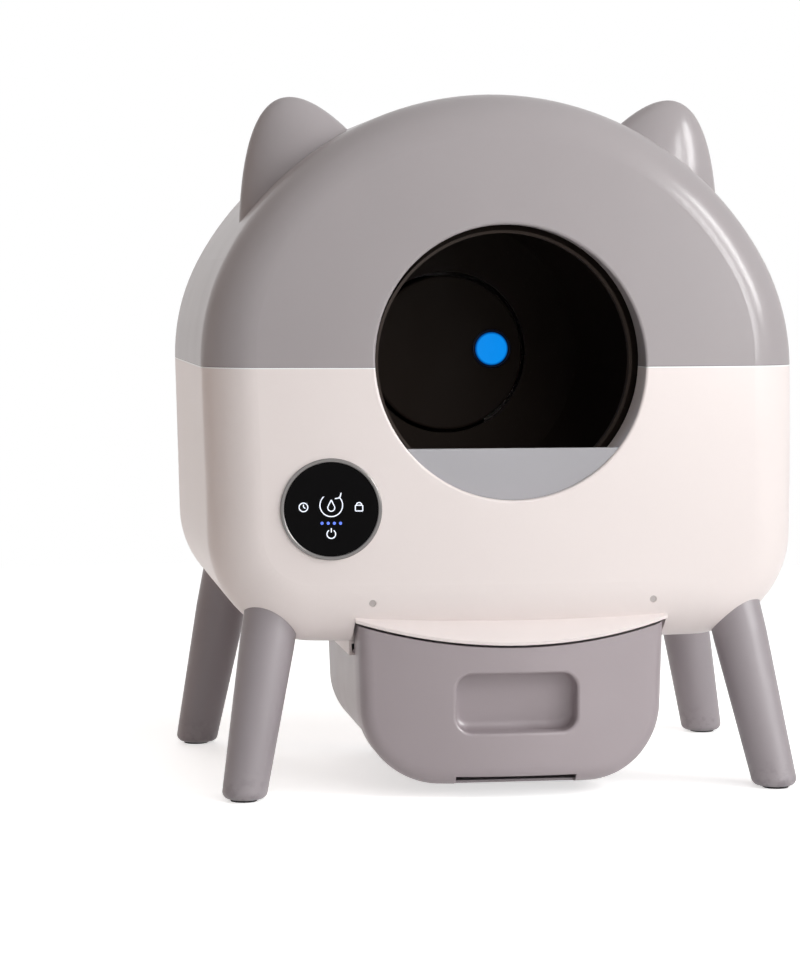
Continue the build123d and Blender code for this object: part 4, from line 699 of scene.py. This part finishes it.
    def set_camera(self, context, look):
        """Camera of the picture, turned to the right and tipped down by the angles of its view."""
        level = Vector((math.sin(CAMERA_YAW), math.cos(CAMERA_YAW), 0.0)) * math.cos(CAMERA_PITCH)
        ahead = level - Vector((0.0, 0.0, math.sin(CAMERA_PITCH)))
        right = Vector((math.cos(CAMERA_YAW), -math.sin(CAMERA_YAW), 0.0))
        lens = bpy.data.cameras.new("camera")
        lens.lens = look.lens / MM
        lens.clip_end = 100.0
        camera = bpy.data.objects.new("camera", lens)
        turn = Matrix((right, right.cross(ahead), -ahead)).transposed().to_4x4()
        camera.matrix_world = Matrix.Translation(CAMERA_PLACE) @ turn
        context.scene.collection.objects.link(camera)
        context.scene.camera = camera


class LITTERBOX_PT_finishes(bpy.types.Panel):
    """Buttons and settings of the litter box's finishes"""

    bl_idname = "LITTERBOX_PT_finishes"
    bl_label = "Litter box"
    bl_space_type = "VIEW_3D"
    bl_region_type = "UI"
    bl_category = "Litter box"

    def draw(self, context):
        """List each group's settings with its button."""
        for settings, buttons in PANEL_ROWS:
            box = self.layout.box()
            group = getattr(context.scene, settings)
            for name in group.bl_rna.properties.keys():
                if name not in ("rna_type", "name"):
                    box.prop(group, name)
            for button in buttons:
                box.operator(button.bl_idname)


SETTINGS = {
    "litter_casing": CasingSettings,
    "litter_drum": DrumSettings,
    "litter_panel": PanelSettings,
    "litter_lamp": LampSettings,
    "litter_studio": StudioSettings,
}
PANEL_ROWS = [
    ("litter_casing", [LITTERBOX_OT_casing, LITTERBOX_OT_drawer, LITTERBOX_OT_legs]),
    ("litter_drum", [LITTERBOX_OT_drum, LITTERBOX_OT_drive]),
    ("litter_panel", [LITTERBOX_OT_panel]),
    ("litter_lamp", [LITTERBOX_OT_lamp]),
    ("litter_studio", [LITTERBOX_OT_studio]),
]
OPERATORS = [button for _, buttons in PANEL_ROWS for button in buttons]


def register():
    """Register the settings, the operators and the panel."""
    for made in [*SETTINGS.values(), *OPERATORS, LITTERBOX_PT_finishes]:
        bpy.utils.register_class(made)
    for name, group in SETTINGS.items():
        setattr(bpy.types.Scene, name, bpy.props.PointerProperty(type=group))


def unregister():
    """Take the settings, the operators and the panel away again."""
    for name in SETTINGS:
        delattr(bpy.types.Scene, name)
    for made in reversed([*SETTINGS.values(), *OPERATORS, LITTERBOX_PT_finishes]):
        bpy.utils.unregister_class(made)


def main():
    """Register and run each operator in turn."""
    register()
    bpy.ops.litterbox.casing()
    bpy.ops.litterbox.drawer()
    bpy.ops.litterbox.legs()
    bpy.ops.litterbox.drum()
    bpy.ops.litterbox.drive()
    bpy.ops.litterbox.panel()
    bpy.ops.litterbox.lamp()
    bpy.ops.litterbox.studio()


if __name__ == "__main__":
    main()
